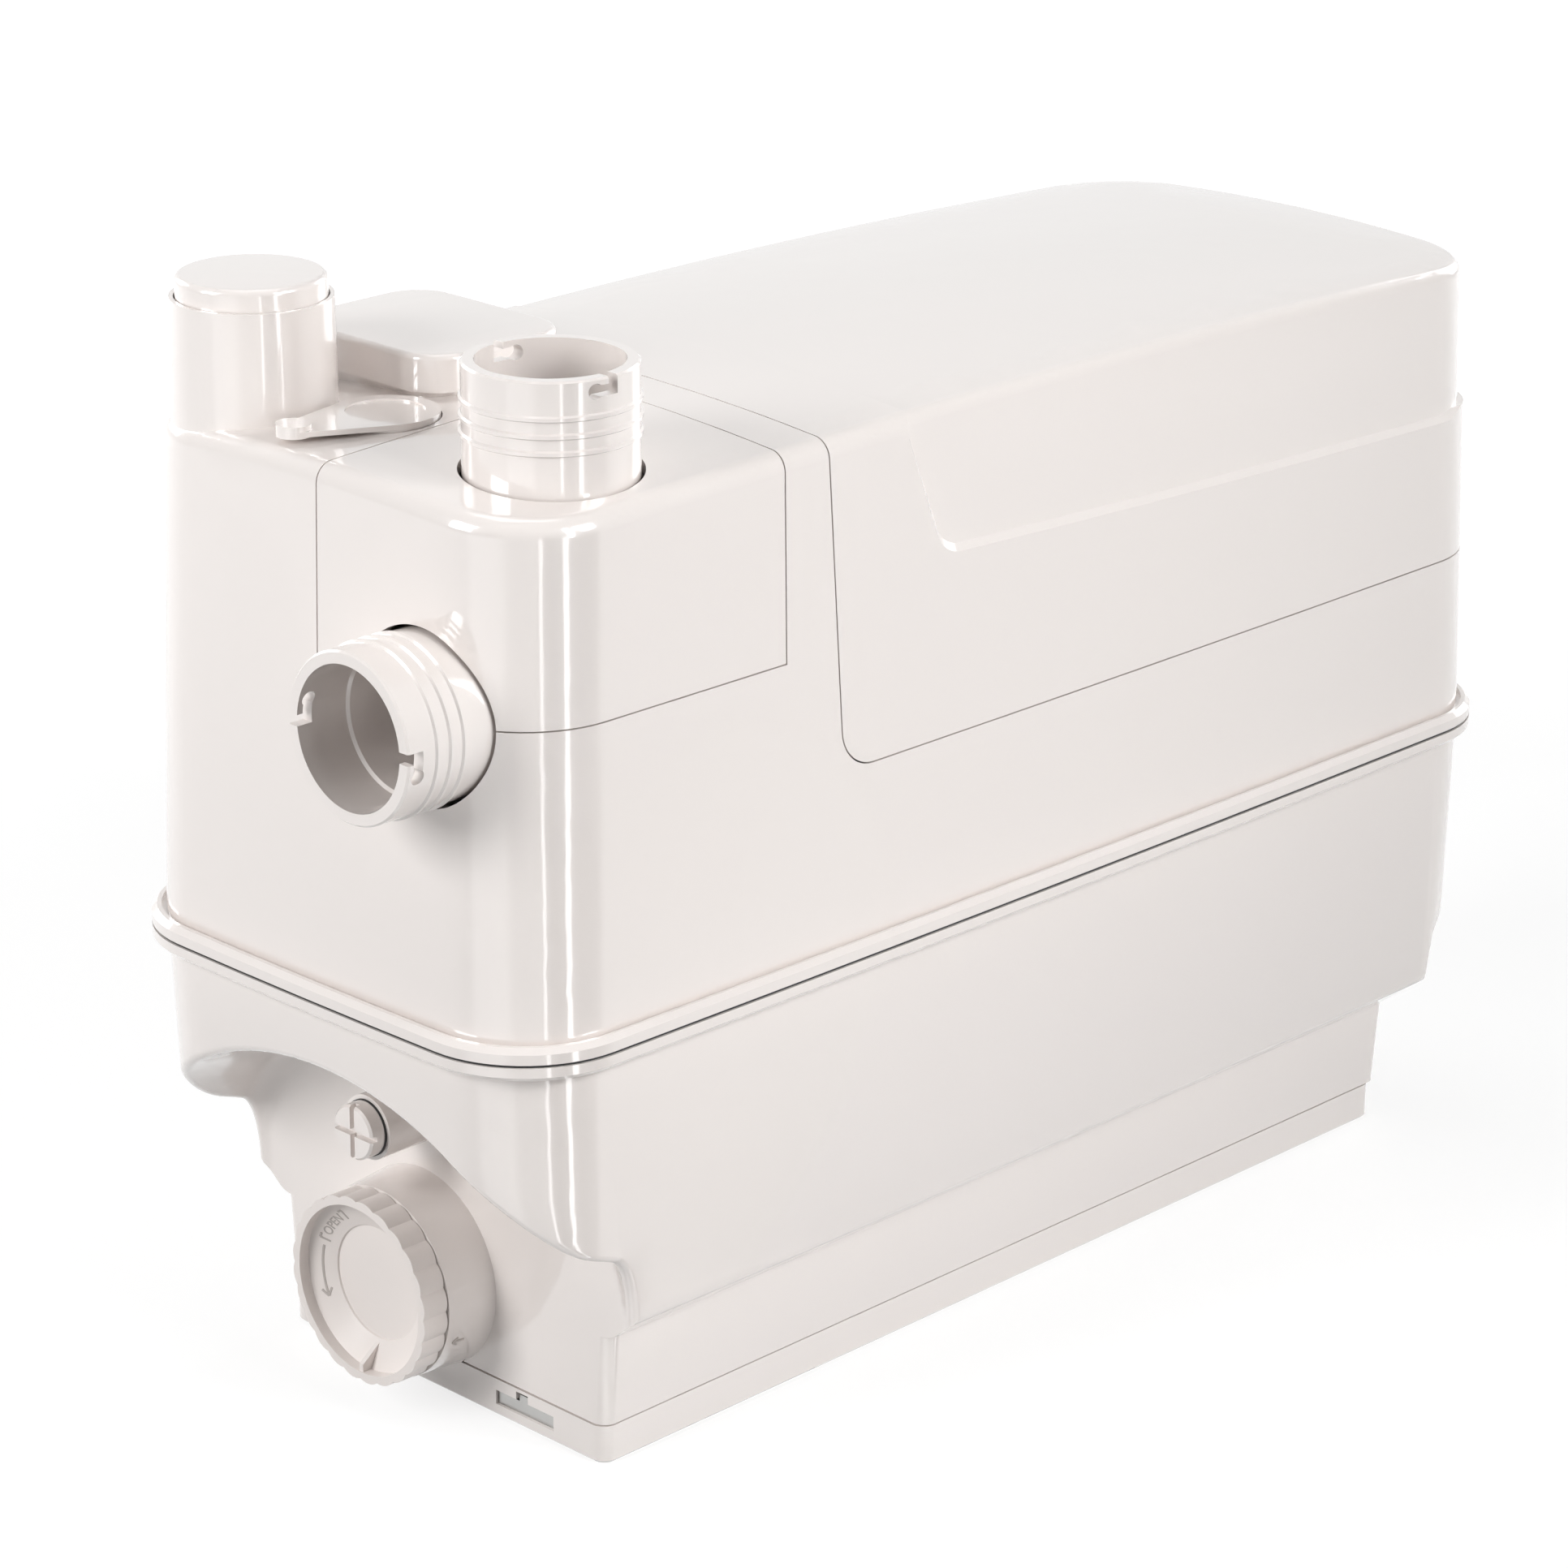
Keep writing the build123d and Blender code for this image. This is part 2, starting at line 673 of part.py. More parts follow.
# Foot frame, the plinth that the tank stands on
with BuildPart() as foot_frame:
    with BuildSketch():
        with Locations((FOOT_MID_X, 0)):
            RectangleRounded(FOOT_LONG, 2 * FOOT_HALF_Y, BASE_CORNER)
    extrude(amount=FOOT_TOP - FOOT_SEAM_HIGH)
    with BuildSketch():
        with Locations((FOOT_MID_X, 0)):
            RectangleRounded(FOOT_LONG - 2 * FOOT_SEAM_DEEP, 2 * (FOOT_HALF_Y - FOOT_SEAM_DEEP),
                             BASE_CORNER - FOOT_SEAM_DEEP)
    extrude(amount=FOOT_TOP)
    chamfer(foot_frame.faces().sort_by(Axis.Z)[0].edges(), FOOT_BEVEL)
    # Shallow pockets between the ribs under the tank
    with BuildSketch(Plane.XY.offset(FOOT_TOP)):
        with Locations((FOOT_MID_X, 0)):
            with GridLocations(*POCKET_PITCH, 4, 2):
                RectangleRounded(*POCKET_SIZE, POCKET_CORNER)
    extrude(amount=-FOOT_POCKET, mode=Mode.SUBTRACT)
    # Slots for the floor clips at both ends
    for end_x in (BASE_NEAR_X, FOOT_FAR_X):
        with BuildSketch(Plane.YZ.offset(end_x)):
            with Locations((SLOT_Y, SLOT_Z)):
                Rectangle(SLOT_WIDTH, SLOT_HEIGHT)
            with Locations((SLOT_NOTCH_Y, SLOT_Z + SLOT_HEIGHT / 2 + SLOT_NOTCH_HIGH / 2)):
                Rectangle(SLOT_NOTCH, SLOT_NOTCH_HIGH)
        extrude(amount=SLOT_DEEP, both=True, mode=Mode.SUBTRACT)
finish(foot_frame.part, "foot_frame")

# Floor clips, a bent steel one in the slot at each end
with BuildPart() as floor_clips:
    for end_x, way in ((BASE_NEAR_X, 1), (FOOT_FAR_X, -1)):
        front = end_x + way * CLIP_SET
        with BuildSketch(Plane(origin=(0, SLOT_Y, 0), x_dir=(1, 0, 0), z_dir=(0, -1, 0))):
            with BuildLine():
                Polyline((front, SLOT_LOW), (end_x + way * CLIP_LONG, SLOT_LOW),
                         (end_x + way * CLIP_LONG, SLOT_LOW + CLIP_THICK), (front + way * CLIP_THICK,
                                                                           SLOT_LOW + CLIP_THICK),
                         (front + way * CLIP_THICK, SLOT_LOW + CLIP_HIGH), (front, SLOT_LOW + CLIP_HIGH),
                         close=True)
            make_face()
        extrude(amount=SLOT_WIDTH / 2 - PART_GAP, both=True)
        with BuildSketch(Plane.YZ.offset(front + way * CLIP_THICK / 2)):
            with Locations((SLOT_NOTCH_Y, SLOT_LOW + CLIP_HIGH + 0.7)):
                Rectangle(SLOT_NOTCH - 1, 2.4)
        extrude(amount=CLIP_THICK / 2, both=True)
finish(floor_clips.part, "floor_clips")

# Rim seal, the dark line between tank and casing
with BuildPart() as rim_seal:
    loft(sections=[rim_plan(SEAL_LOW, SEAL_INSET), rim_plan(SEAL_HIGH, SEAL_INSET)], ruled=True)
    loft(sections=[rim_plan(SEAL_LOW, SEAL_INSET + SEAL_WIDE), rim_plan(SEAL_HIGH, SEAL_INSET + SEAL_WIDE)],
         ruled=True, mode=Mode.SUBTRACT)
finish(rim_seal.part, "rim_seal")

# Casing: walls, deck, inlet corner, lever pocket and riser column
with BuildPart() as low_room:
    add(inner_form)
    with BuildSketch(Plane.XY.offset(DECK_LOW)):
        Rectangle(420, 200)
    extrude(amount=120, mode=Mode.SUBTRACT)

with BuildPart() as high_room:
    add(inner_form)
    add(hood_zone(PART_GAP / 2 + WALL), mode=Mode.SUBTRACT)
    add(saddle_zone(WALL, POCKET_FLOOR), mode=Mode.SUBTRACT)
    with BuildSketch(Plane.XY.offset(DECK_LOW - 1)):
        Rectangle(420, 200)
    extrude(amount=-60, mode=Mode.SUBTRACT)

with BuildPart() as pocket_room:
    add(inner_form)
    add(saddle_zone(PART_GAP / 2, POCKET_FLOOR + PART_GAP / 2), mode=Mode.INTERSECT)

lever_seat = turned(LEVER_X, LEVER_Y, [
    (SPINDLE_R + RUN_GAP, SPINDLE_BOSS_LOW), (SPINDLE_BOSS_R, SPINDLE_BOSS_LOW),
    (SPINDLE_BOSS_R, LEVER_FLOOR - WALL), (LEVER_POCKET_R + LEVER_WALL, LEVER_FLOOR - WALL),
    (LEVER_POCKET_R + LEVER_WALL, LEVER_SEAT_TOP), (LEVER_POCKET_R, LEVER_SEAT_TOP),
    (LEVER_POCKET_R, LEVER_FLOOR), (SPINDLE_R + RUN_GAP, LEVER_FLOOR)])

with BuildPart() as lip_groove:
    extrude(case_plan(LIP_TOP - LIP_GROOVE_DEEP, -LIP_GROOVE), amount=LIP_GROOVE_DEEP + OVER)
    add(outer_form, mode=Mode.SUBTRACT)

with BuildPart() as casing:
    add(outer_form)
    add(hood_zone(PART_GAP / 2), mode=Mode.SUBTRACT)
    add(saddle_zone(PART_GAP / 2), mode=Mode.SUBTRACT)
    # Lip that meets the tank's rim
    loft(sections=[rim_plan(SEAL_HIGH), rim_plan(LIP_TOP - LIP_ROUND)], ruled=True)
    loft(sections=[rim_plan(LIP_TOP - LIP_ROUND), rim_plan(LIP_TOP, LIP_ROUND)], ruled=True)
    add(lip_groove.part, mode=Mode.SUBTRACT)
    # Riser column in the corner
    with BuildSketch(Plane.XY.offset(ROOF_TOP - 8)):
        with Locations((RISER_X, RISER_Y)):
            Circle(RISER_FOOT_R)
    extrude(amount=RISER_TOP - ROOF_TOP + 8, taper=RISER_TAPER)
    add(low_room.part, mode=Mode.SUBTRACT)
    add(high_room.part, mode=Mode.SUBTRACT)
    add(pocket_room.part, mode=Mode.SUBTRACT)
    add(post(RISER_X, RISER_Y, ROOF_TOP - 12, RISER_TOP + OVER, RISER_BORE_R), mode=Mode.SUBTRACT)
    # Pocket and bearing for the lever
    add(post(LEVER_X, LEVER_Y, LEVER_FLOOR - WALL / 2, ROOF_TOP + OVER, LEVER_POCKET_R), mode=Mode.SUBTRACT)
    add(lever_seat)
    # Collar and well under the vent cover
    with BuildSketch(Plane.XY.offset(VENT_WELL_LOW)):
        with Locations((VENT_X, VENT_Y)):
            RectangleRounded(VENT_SIZE_X - 2 * VENT_COLLAR, VENT_SIZE_Y - 2 * VENT_COLLAR,
                             VENT_CORNER - VENT_COLLAR)
    extrude(amount=VENT_LOW - VENT_WELL_LOW)
    with BuildSketch(Plane.XY.offset(VENT_WELL_LOW + WALL)):
        with Locations((VENT_X, VENT_Y)):
            RectangleRounded(VENT_SIZE_X - 2 * VENT_WELL, VENT_SIZE_Y - 2 * VENT_WELL,
                             VENT_CORNER - VENT_WELL)
    extrude(amount=30, mode=Mode.SUBTRACT)
    with BuildSketch(Plane.XY.offset(VENT_WELL_LOW - 5)):
        with Locations((VENT_X, VENT_Y)):
            with GridLocations(0, 9, 1, 4):
                SlotOverall(28, 4)
    extrude(amount=20, mode=Mode.SUBTRACT)
    # Openings for the shaft, the level pipe, the drop and the end spigot
    add(post(MOTOR_X, 0, DECK_LOW - OVER, DECK_TOP + OVER, SHAFT_HOLE_R), mode=Mode.SUBTRACT)
    add(post(BELL_X, BELL_Y, DECK_LOW - OVER, DECK_TOP + OVER, BELL_NECK_R + PASS_GAP), mode=Mode.SUBTRACT)
    add(post(TOP_X, INLET_Y, DECK_LOW - OVER, POCKET_FLOOR + OVER, DROP_R + PASS_GAP), mode=Mode.SUBTRACT)
    add(reach(-200, TOP_X - 20, END_Y, END_Z, SPIGOT_HOLE_R), mode=Mode.SUBTRACT)
    # Bosses for the long screws
    for x, y in SCREW_SPOTS:
        add(post(x, y, SEAL_HIGH, DECK_LOW + 1, SCREW_BOSS_R))
    for x, y in SCREW_SPOTS:
        add(post(x, y, SEAL_HIGH - OVER, DECK_TOP + OVER, SCREW_HOLE_R), mode=Mode.SUBTRACT)
        add(post(x, y, DECK_TOP - SCREW_SINK, DECK_TOP + OVER, SCREW_SINK_R), mode=Mode.SUBTRACT)
finish(casing.part, "casing")

# Motor hood, a deep cover that lifts straight up
panel_form = casing_form(PANEL_STEP, PANEL_DROP)
hood_inner = casing_form(WALL + PANEL_STEP, WALL + PANEL_DROP)
with BuildPart() as panel_waste:
    loft(sections=[panel_side(0.0, -PANEL_SIDE_Y), panel_side(0.0, PANEL_SIDE_Y)], ruled=True)
    for side in (-1, 1):
        loft(sections=[panel_side(0.0, side * PANEL_SIDE_Y),
                       panel_side(PANEL_FLARE, side * (PANEL_SIDE_Y + PANEL_FLARE))], ruled=True)
    add(panel_form, mode=Mode.SUBTRACT)

with BuildPart() as motor_hood:
    add(outer_form)
    add(hood_zone(-PART_GAP / 2), mode=Mode.INTERSECT)
    add(panel_waste.part, mode=Mode.SUBTRACT)
    add(hood_inner, mode=Mode.SUBTRACT)
finish(motor_hood.part, "motor_hood")

# Inlet cover, the saddle over both inlets
with BuildPart() as inlet_cover:
    add(outer_form)
    add(saddle_zone(-PART_GAP / 2), mode=Mode.INTERSECT)
    add(inner_form, mode=Mode.SUBTRACT)
    with BuildSketch(Plane.XY.offset(ROOF_TOP - 20)):
        with Locations((TOP_X, INLET_Y)):
            Circle(SPIGOT_HOLE_R)
    extrude(amount=40, mode=Mode.SUBTRACT)
    with BuildSketch(Plane(origin=(TOP_X - 20, END_Y, END_Z), z_dir=(-1, 0, 0))):
        Circle(SPIGOT_HOLE_R)
    extrude(amount=60, mode=Mode.SUBTRACT)
finish(inlet_cover.part, "inlet_cover")

# Inlet tee under the cover, with a tail that drops into the tank
with BuildPart() as inlet_tee:
    add(post(TOP_X, INLET_Y, POCKET_FLOOR, TEE_TOP, TEE_R))
    add(post(TOP_X, INLET_Y, DROP_LOW, POCKET_FLOOR + 1, DROP_R))
    add(reach(TEE_END_X, TOP_X, END_Y, END_Z, BRANCH_R))
    add(post(TOP_X, INLET_Y, DROP_LOW - 1, TEE_TOP + 1, SPIGOT_STEP_R), mode=Mode.SUBTRACT)
    add(reach(TEE_END_X - 10, TOP_X, END_Y, END_Z, SPIGOT_STEP_R), mode=Mode.SUBTRACT)
    add(post(TOP_X, INLET_Y, TEE_TOP - SOCKET, TEE_TOP + 1, SOCKET_R), mode=Mode.SUBTRACT)
    add(reach(TEE_END_X - 10, TEE_END_X + END_SOCKET, END_Y, END_Z, SOCKET_R), mode=Mode.SUBTRACT)
finish(inlet_tee.part, "inlet_tee")

# The two inlet spigots and their seal rings
with BuildPart() as top_inlet_spigot:
    add(spigot(TOP_RIM_Z - TEE_TOP + SOCKET).moved(Location((TOP_X, INLET_Y, TOP_RIM_Z))))
finish(top_inlet_spigot.part, "top_inlet_spigot")

with BuildPart() as end_inlet_spigot:
    add(spigot(TEE_END_X + END_SOCKET - END_RIM_X).moved(Location((END_RIM_X, END_Y, END_Z), (0, -90, 0))))
finish(end_inlet_spigot.part, "end_inlet_spigot")

top_ring_low = TEE_TOP - SOCKET + RING_LOW
with BuildPart() as top_spigot_seal:
    add(post(TOP_X, INLET_Y, top_ring_low, top_ring_low + RING_WIDE, SOCKET_R, RING_R))
finish(top_spigot_seal.part, "top_spigot_seal")

end_ring_far = TEE_END_X + END_SOCKET - RING_LOW
with BuildPart() as end_spigot_seal:
    add(reach(end_ring_far - RING_WIDE, end_ring_far, END_Y, END_Z, SOCKET_R, RING_R))
finish(end_spigot_seal.part, "end_spigot_seal")

# Low port cap with a waved grip, dished face and pointer rib
wave_points = []
for i in range(2 * CAP_WAVES + 1):
    angle = pi * i / CAP_WAVES
    radius = CAP_R + CAP_WAVE * (1 if i % 2 else -1)
    wave_points.append((radius * cos(angle), radius * sin(angle)))
wave_points[-1] = wave_points[0]
with BuildPart() as low_port_cap:
    with BuildSketch(Plane(origin=(CAP_BACK_X, PORT_Y, PORT_Z), z_dir=(-1, 0, 0))):
        with BuildLine():
            for i in range(CAP_WAVES):
                ThreePointArc(*wave_points[2 * i:2 * i + 3])
        make_face()
    extrude(amount=CAP_BACK_X - CAP_FRONT_X)
    add(turned_along(PORT_Y, PORT_Z, [(CAP_FRONT_X - 1, 0), (CAP_FRONT_X - 1, CAP_RIM_R), (-168.0, CAP_RIM_R),
                                      (CAP_DISC_X - 0.5, CAP_DISC_R + 0.2), (CAP_DISC_X, CAP_DISC_R),
                                      (CAP_DISC_X, 0)]), mode=Mode.SUBTRACT)
    seal_near = CAP_SEAL_X - CAP_SEAL_WIDE
    skirt_in = CAP_SEAL_R - WALL / 2
    add(turned_along(PORT_Y, PORT_Z, [
        (CAP_BACK_X - 0.5, 0), (CAP_BACK_X - 0.5, CAP_SKIRT_R), (seal_near, CAP_SKIRT_R),
        (seal_near, CAP_SEAL_R), (CAP_SEAL_X, CAP_SEAL_R), (CAP_SEAL_X, CAP_SKIRT_R),
        (CAP_SKIRT_X, CAP_SKIRT_R), (CAP_SKIRT_X, skirt_in), (CAP_DISC_X + CAP_WEB, skirt_in),
        (CAP_DISC_X + CAP_WEB, 0)]))
    # Pointer gusset that climbs the dished ring
    with BuildSketch(Plane(origin=(0, PORT_Y, PORT_Z), x_dir=(1, 0, 0), z_dir=(0, -1, 0))):
        with BuildLine():
            Polyline((CAP_DISC_X + GUSSET_SINK, -CAP_DISC_R), (GUSSET_FRONT_X, GUSSET_LONG - CAP_RIM_R),
                     (GUSSET_FRONT_X, -CAP_RIM_R - GUSSET_SINK),
                     (CAP_DISC_X + GUSSET_SINK, -CAP_RIM_R - GUSSET_SINK), close=True)
        make_face()
    extrude(amount=GUSSET_THICK / 2, both=True)
finish(low_port_cap.part, "low_port_cap")

with BuildPart() as low_port_seal:
    add(reach(seal_near + 0.1, CAP_SEAL_X - 0.1, PORT_Y, PORT_Z, PORT_BORE_R - RUN_GAP, CAP_SEAL_R + RUN_GAP))
finish(low_port_seal.part, "low_port_seal")

# Drain plug with a cross slot, and its washer
plug_head_x = PLUG_BOSS_X - PLUG_WASHER
with BuildPart() as drain_plug:
    add(reach(PLUG_FACE_X, plug_head_x, PLUG_Y, PLUG_Z, PLUG_R))
    chamfer(drain_plug.faces().sort_by(Axis.X)[0].edges(), 0.6)
    add(reach(plug_head_x - 1, PLUG_TAIL_X, PLUG_Y, PLUG_Z, PLUG_SHANK_R))
    with BuildSketch(Plane(origin=(PLUG_FACE_X, PLUG_Y, PLUG_Z), z_dir=(-1, 0, 0))):
        Rectangle(2 * PLUG_R, PLUG_SLOT)
        Rectangle(PLUG_SLOT, 2 * PLUG_R)
    extrude(amount=-PLUG_SLOT_DEEP, mode=Mode.SUBTRACT)
finish(drain_plug.part, "drain_plug")

with BuildPart() as plug_washer:
    add(reach(plug_head_x, PLUG_BOSS_X, PLUG_Y, PLUG_Z, PLUG_BOSS_R - WASHER_INSET, PLUG_SHANK_R + RUN_GAP))
finish(plug_washer.part, "plug_washer")

# Cap in the riser column
with BuildPart() as riser_cap:
    add(turned(RISER_X, RISER_Y, [(0, RISER_CAP_TOP - WALL), (RISER_CAP_R - WALL, RISER_CAP_TOP - WALL),
                                  (RISER_CAP_R - WALL, RISER_CAP_LOW), (RISER_CAP_R, RISER_CAP_LOW),
                                  (RISER_CAP_R, RISER_CAP_TOP), (0, RISER_CAP_TOP)]))
    fillet(riser_cap.faces().sort_by(Axis.Z)[-1].edges(), RISER_CAP_EDGE)
finish(riser_cap.part, "riser_cap")

# Vent cover, a shallow pad over the filter
with BuildPart() as vent_cover:
    with BuildSketch(Plane.XY.offset(VENT_LOW)):
        with Locations((VENT_X, VENT_Y)):
            RectangleRounded(VENT_SIZE_X, VENT_SIZE_Y, VENT_CORNER)
    extrude(amount=VENT_TOP - VENT_LOW)
    fillet(vent_cover.faces().sort_by(Axis.Z)[-1].edges(), VENT_EDGE)
    with BuildSketch(Plane.XY.offset(VENT_LOW)):
        with Locations((VENT_X, VENT_Y)):
            RectangleRounded(VENT_SIZE_X - 2 * VENT_LIP, VENT_SIZE_Y - 2 * VENT_LIP, VENT_CORNER - VENT_LIP)
    extrude(amount=VENT_TOP - VENT_LOW - VENT_LIP, mode=Mode.SUBTRACT)
finish(vent_cover.part, "vent_cover")

with BuildPart() as carbon_filter:
    with BuildSketch(Plane.XY.offset(VENT_WELL_LOW + WALL)):
        with Locations((VENT_X, VENT_Y)):
            RectangleRounded(VENT_SIZE_X - 2 * VENT_WELL - 0.6, VENT_SIZE_Y - 2 * VENT_WELL - 0.6,
                             VENT_CORNER - VENT_WELL - 0.3)
    extrude(amount=FILTER_TOP - VENT_WELL_LOW - WALL)
finish(carbon_filter.part, "carbon_filter")

# Lever on the roof, and the spindle and cam below it
with BuildPart() as drain_lever:
    add(post(LEVER_X, LEVER_Y, LEVER_LOW, LEVER_TOP, LEVER_R))
    with BuildSketch(Plane.XY.offset(ARM_LOW)):
        with Locations((LEVER_X, LEVER_Y)):
            Circle(LEVER_R)
        with Locations((TIP_X, TIP_Y)):
            Circle(TIP_R)
        make_hull()
    extrude(amount=ARM_TOP - ARM_LOW)
    add(post(TIP_X, TIP_Y, TIP_LOW, TIP_TOP, TIP_R))
    add(post(LEVER_X, LEVER_Y, LEVER_TOP + 0.3, ARM_TOP + 1, LEVER_R - 3.5), mode=Mode.SUBTRACT)
finish(drain_lever.part, "drain_lever")

with BuildPart() as lever_spindle:
    add(post(LEVER_X, LEVER_Y, SPINDLE_LOW, LEVER_LOW, SPINDLE_R))
    with BuildSketch(Plane.XY.offset(CAM_LOW)):
        with Locations((LEVER_X, LEVER_Y)):
            Circle(SPINDLE_R + 2)
        with Locations((LEVER_X + CAM_LONG, LEVER_Y)):
            Circle(SPINDLE_R - 1)
        make_hull()
    extrude(amount=CAM_TOP - CAM_LOW)
finish(lever_spindle.part, "lever_spindle")

# Pump: volute with its duct, cover, strainer and the column up to the deck
with BuildPart() as pump_volute:
    add(post(MOTOR_X, 0, VOLUTE_LOW, VOLUTE_TOP, VOLUTE_R))
    add(reach(DUCT_END_X, MOTOR_X, DUCT_Y, DUCT_Z, DUCT_R))
    add(post(MOTOR_X, 0, VOLUTE_LOW + WALL, VOLUTE_TOP + 1, VOLUTE_ROOM_R), mode=Mode.SUBTRACT)
    add(post(MOTOR_X, 0, VOLUTE_LOW - 1, VOLUTE_LOW + 5, EYE_R), mode=Mode.SUBTRACT)
    add(reach(DUCT_END_X - 1, MOTOR_X, DUCT_Y, DUCT_Z, DUCT_BORE_R), mode=Mode.SUBTRACT)
finish(pump_volute.part, "pump_volute")

with BuildPart() as volute_cover:
    add(post(MOTOR_X, 0, VOLUTE_TOP, VOLUTE_TOP + VOLUTE_COVER, VOLUTE_R, SHAFT_HOLE_R))
finish(volute_cover.part, "volute_cover")

with BuildPart() as suction_strainer:
    add(post(MOTOR_X, 0, TANK_FLOOR, VOLUTE_LOW, STRAINER_R, STRAINER_R - STRAINER_WALL))
    with BuildSketch(Plane.XY.offset(TANK_FLOOR + 2)):
        with Locations((MOTOR_X, 0)):
            with PolarLocations(STRAINER_R, STRAINER_SLOTS):
                Rectangle(4 * STRAINER_WALL, STRAINER_SLOT)
    extrude(amount=VOLUTE_LOW - TANK_FLOOR - 4, mode=Mode.SUBTRACT)
finish(suction_strainer.part, "suction_strainer")

with BuildPart() as pump_column:
    column_low = VOLUTE_TOP + VOLUTE_COVER
    flange_low = DECK_LOW - PUMP_FLANGE
    add(turned(MOTOR_X, 0, [(PUMP_BORE_R, column_low), (PUMP_COLUMN_R, column_low),
                            (PUMP_COLUMN_R, flange_low), (PUMP_FLANGE_R, flange_low),
                            (PUMP_FLANGE_R, DECK_LOW), (PUMP_BORE_R, DECK_LOW)]))
finish(pump_column.part, "pump_column")

with BuildPart() as shaft_seal:
    add(post(MOTOR_X, 0, SEAL_SHELF, SEAL_SHELF + 6, PUMP_BORE_R, SHAFT_R + RUN_GAP))
finish(shaft_seal.part, "shaft_seal")

with BuildPart() as lower_bearing:
    add(post(MOTOR_X, 0, FOOT_BEARING, DECK_LOW, PUMP_BORE_R, SHAFT_R + RUN_GAP))
finish(lower_bearing.part, "lower_bearing")

# Rotor: impeller, shaft and core turn together
with BuildPart() as impeller:
    add(post(MOTOR_X, 0, IMPELLER_TOP - IMPELLER_BACK, IMPELLER_TOP, IMPELLER_R))
    add(post(MOTOR_X, 0, IMPELLER_LOW + 4, IMPELLER_TOP + 3, IMPELLER_HUB_R))
    with BuildSketch(Plane.XY.offset(IMPELLER_LOW)):
        with Locations((MOTOR_X, 0)):
            with PolarLocations(0, VANES):
                with BuildLine():
                    ThreePointArc((IMPELLER_HUB_R - 1, 0), (22, 6), (IMPELLER_R - 2, 18))
                    Line((IMPELLER_R - 2, 18), (IMPELLER_R - 3.5, 18 + VANE_THICK))
                    ThreePointArc((IMPELLER_R - 3.5, 18 + VANE_THICK), (21, 6 + VANE_THICK),
                                  (IMPELLER_HUB_R - 1, VANE_THICK))
                    Line((IMPELLER_HUB_R - 1, VANE_THICK), (IMPELLER_HUB_R - 1, 0))
                make_face()
    extrude(amount=IMPELLER_TOP - IMPELLER_LOW)
    add(post(MOTOR_X, 0, IMPELLER_LOW - 1, IMPELLER_TOP + 5, SHAFT_R), mode=Mode.SUBTRACT)
finish(impeller.part, "impeller")

with BuildPart() as rotor_shaft:
    add(post(MOTOR_X, 0, SHAFT_LOW, SHAFT_TOP, SHAFT_R))
    chamfer(rotor_shaft.faces().sort_by(Axis.Z)[-1].edges(), 1)
finish(rotor_shaft.part, "rotor_shaft")

with BuildPart() as rotor_core:
    add(post(MOTOR_X, 0, ROTOR_LOW, ROTOR_TOP, ROTOR_R, SHAFT_R))
finish(rotor_core.part, "rotor_core")

# Motor: finned housing, stator, top bearing and its screws
with BuildPart() as motor_housing:
    inner = MOTOR_R - MOTOR_SHELL
    hub = BEARING_R + BEARING_WALL
    roof = MOTOR_TOP - BEARING_WALL
    flange_top = DECK_TOP + MOTOR_FLANGE
    add(turned(MOTOR_X, 0, [(inner, DECK_TOP), (MOTOR_FLANGE_R, DECK_TOP), (MOTOR_FLANGE_R, flange_top),
                            (MOTOR_R, flange_top), (MOTOR_R, MOTOR_SHOULDER),
                            (MOTOR_R - 6, MOTOR_TOP), (0, MOTOR_TOP), (0, roof), (BEARING_R, roof),
                            (BEARING_R, BEARING_LOW), (hub, BEARING_LOW), (hub, roof),
                            (inner - 5, roof), (inner, roof - 5)]))
    with BuildSketch(Plane.XY.offset(DECK_TOP + MOTOR_FLANGE)):
        with Locations((MOTOR_X, 0)):
            with PolarLocations(MOTOR_R + FIN_OUT / 2 - 0.5, FINS, 180 / FINS):
                Rectangle(FIN_OUT + 1, FIN_THICK)
    extrude(amount=MOTOR_SHOULDER - DECK_TOP - MOTOR_FLANGE - 4)
    with BuildSketch(Plane.XY.offset(DECK_TOP - 1)):
        with Locations((MOTOR_X, 0)):
            with PolarLocations(MOTOR_SCREW_R, 4, 45):
                Circle(SCREW_R)
    extrude(amount=MOTOR_FLANGE + 2, mode=Mode.SUBTRACT)
finish(motor_housing.part, "motor_housing")

with BuildPart() as stator:
    add(post(MOTOR_X, 0, STATOR_LOW, STATOR_TOP, MOTOR_R - MOTOR_SHELL, STATOR_R))
finish(stator.part, "stator")

with BuildPart() as upper_bearing:
    add(post(MOTOR_X, 0, BEARING_LOW, BEARING_TOP, BEARING_R, SHAFT_R + RUN_GAP))
finish(upper_bearing.part, "upper_bearing")

with BuildPart() as motor_screws:
    for i in range(4):
        angle = radians(45 + 90 * i)
        x = MOTOR_X + MOTOR_SCREW_R * cos(angle)
        y = MOTOR_SCREW_R * sin(angle)
        add(screw(x, y, DECK_TOP + MOTOR_FLANGE, DECK_TOP))
finish(motor_screws.part, "motor_screws")

with BuildPart() as deck_screws:
    for x, y in SCREW_SPOTS:
        add(screw(x, y, DECK_TOP - SCREW_SINK, SCREW_BOSS_LOW + WALL + 2))
finish(deck_screws.part, "deck_screws")

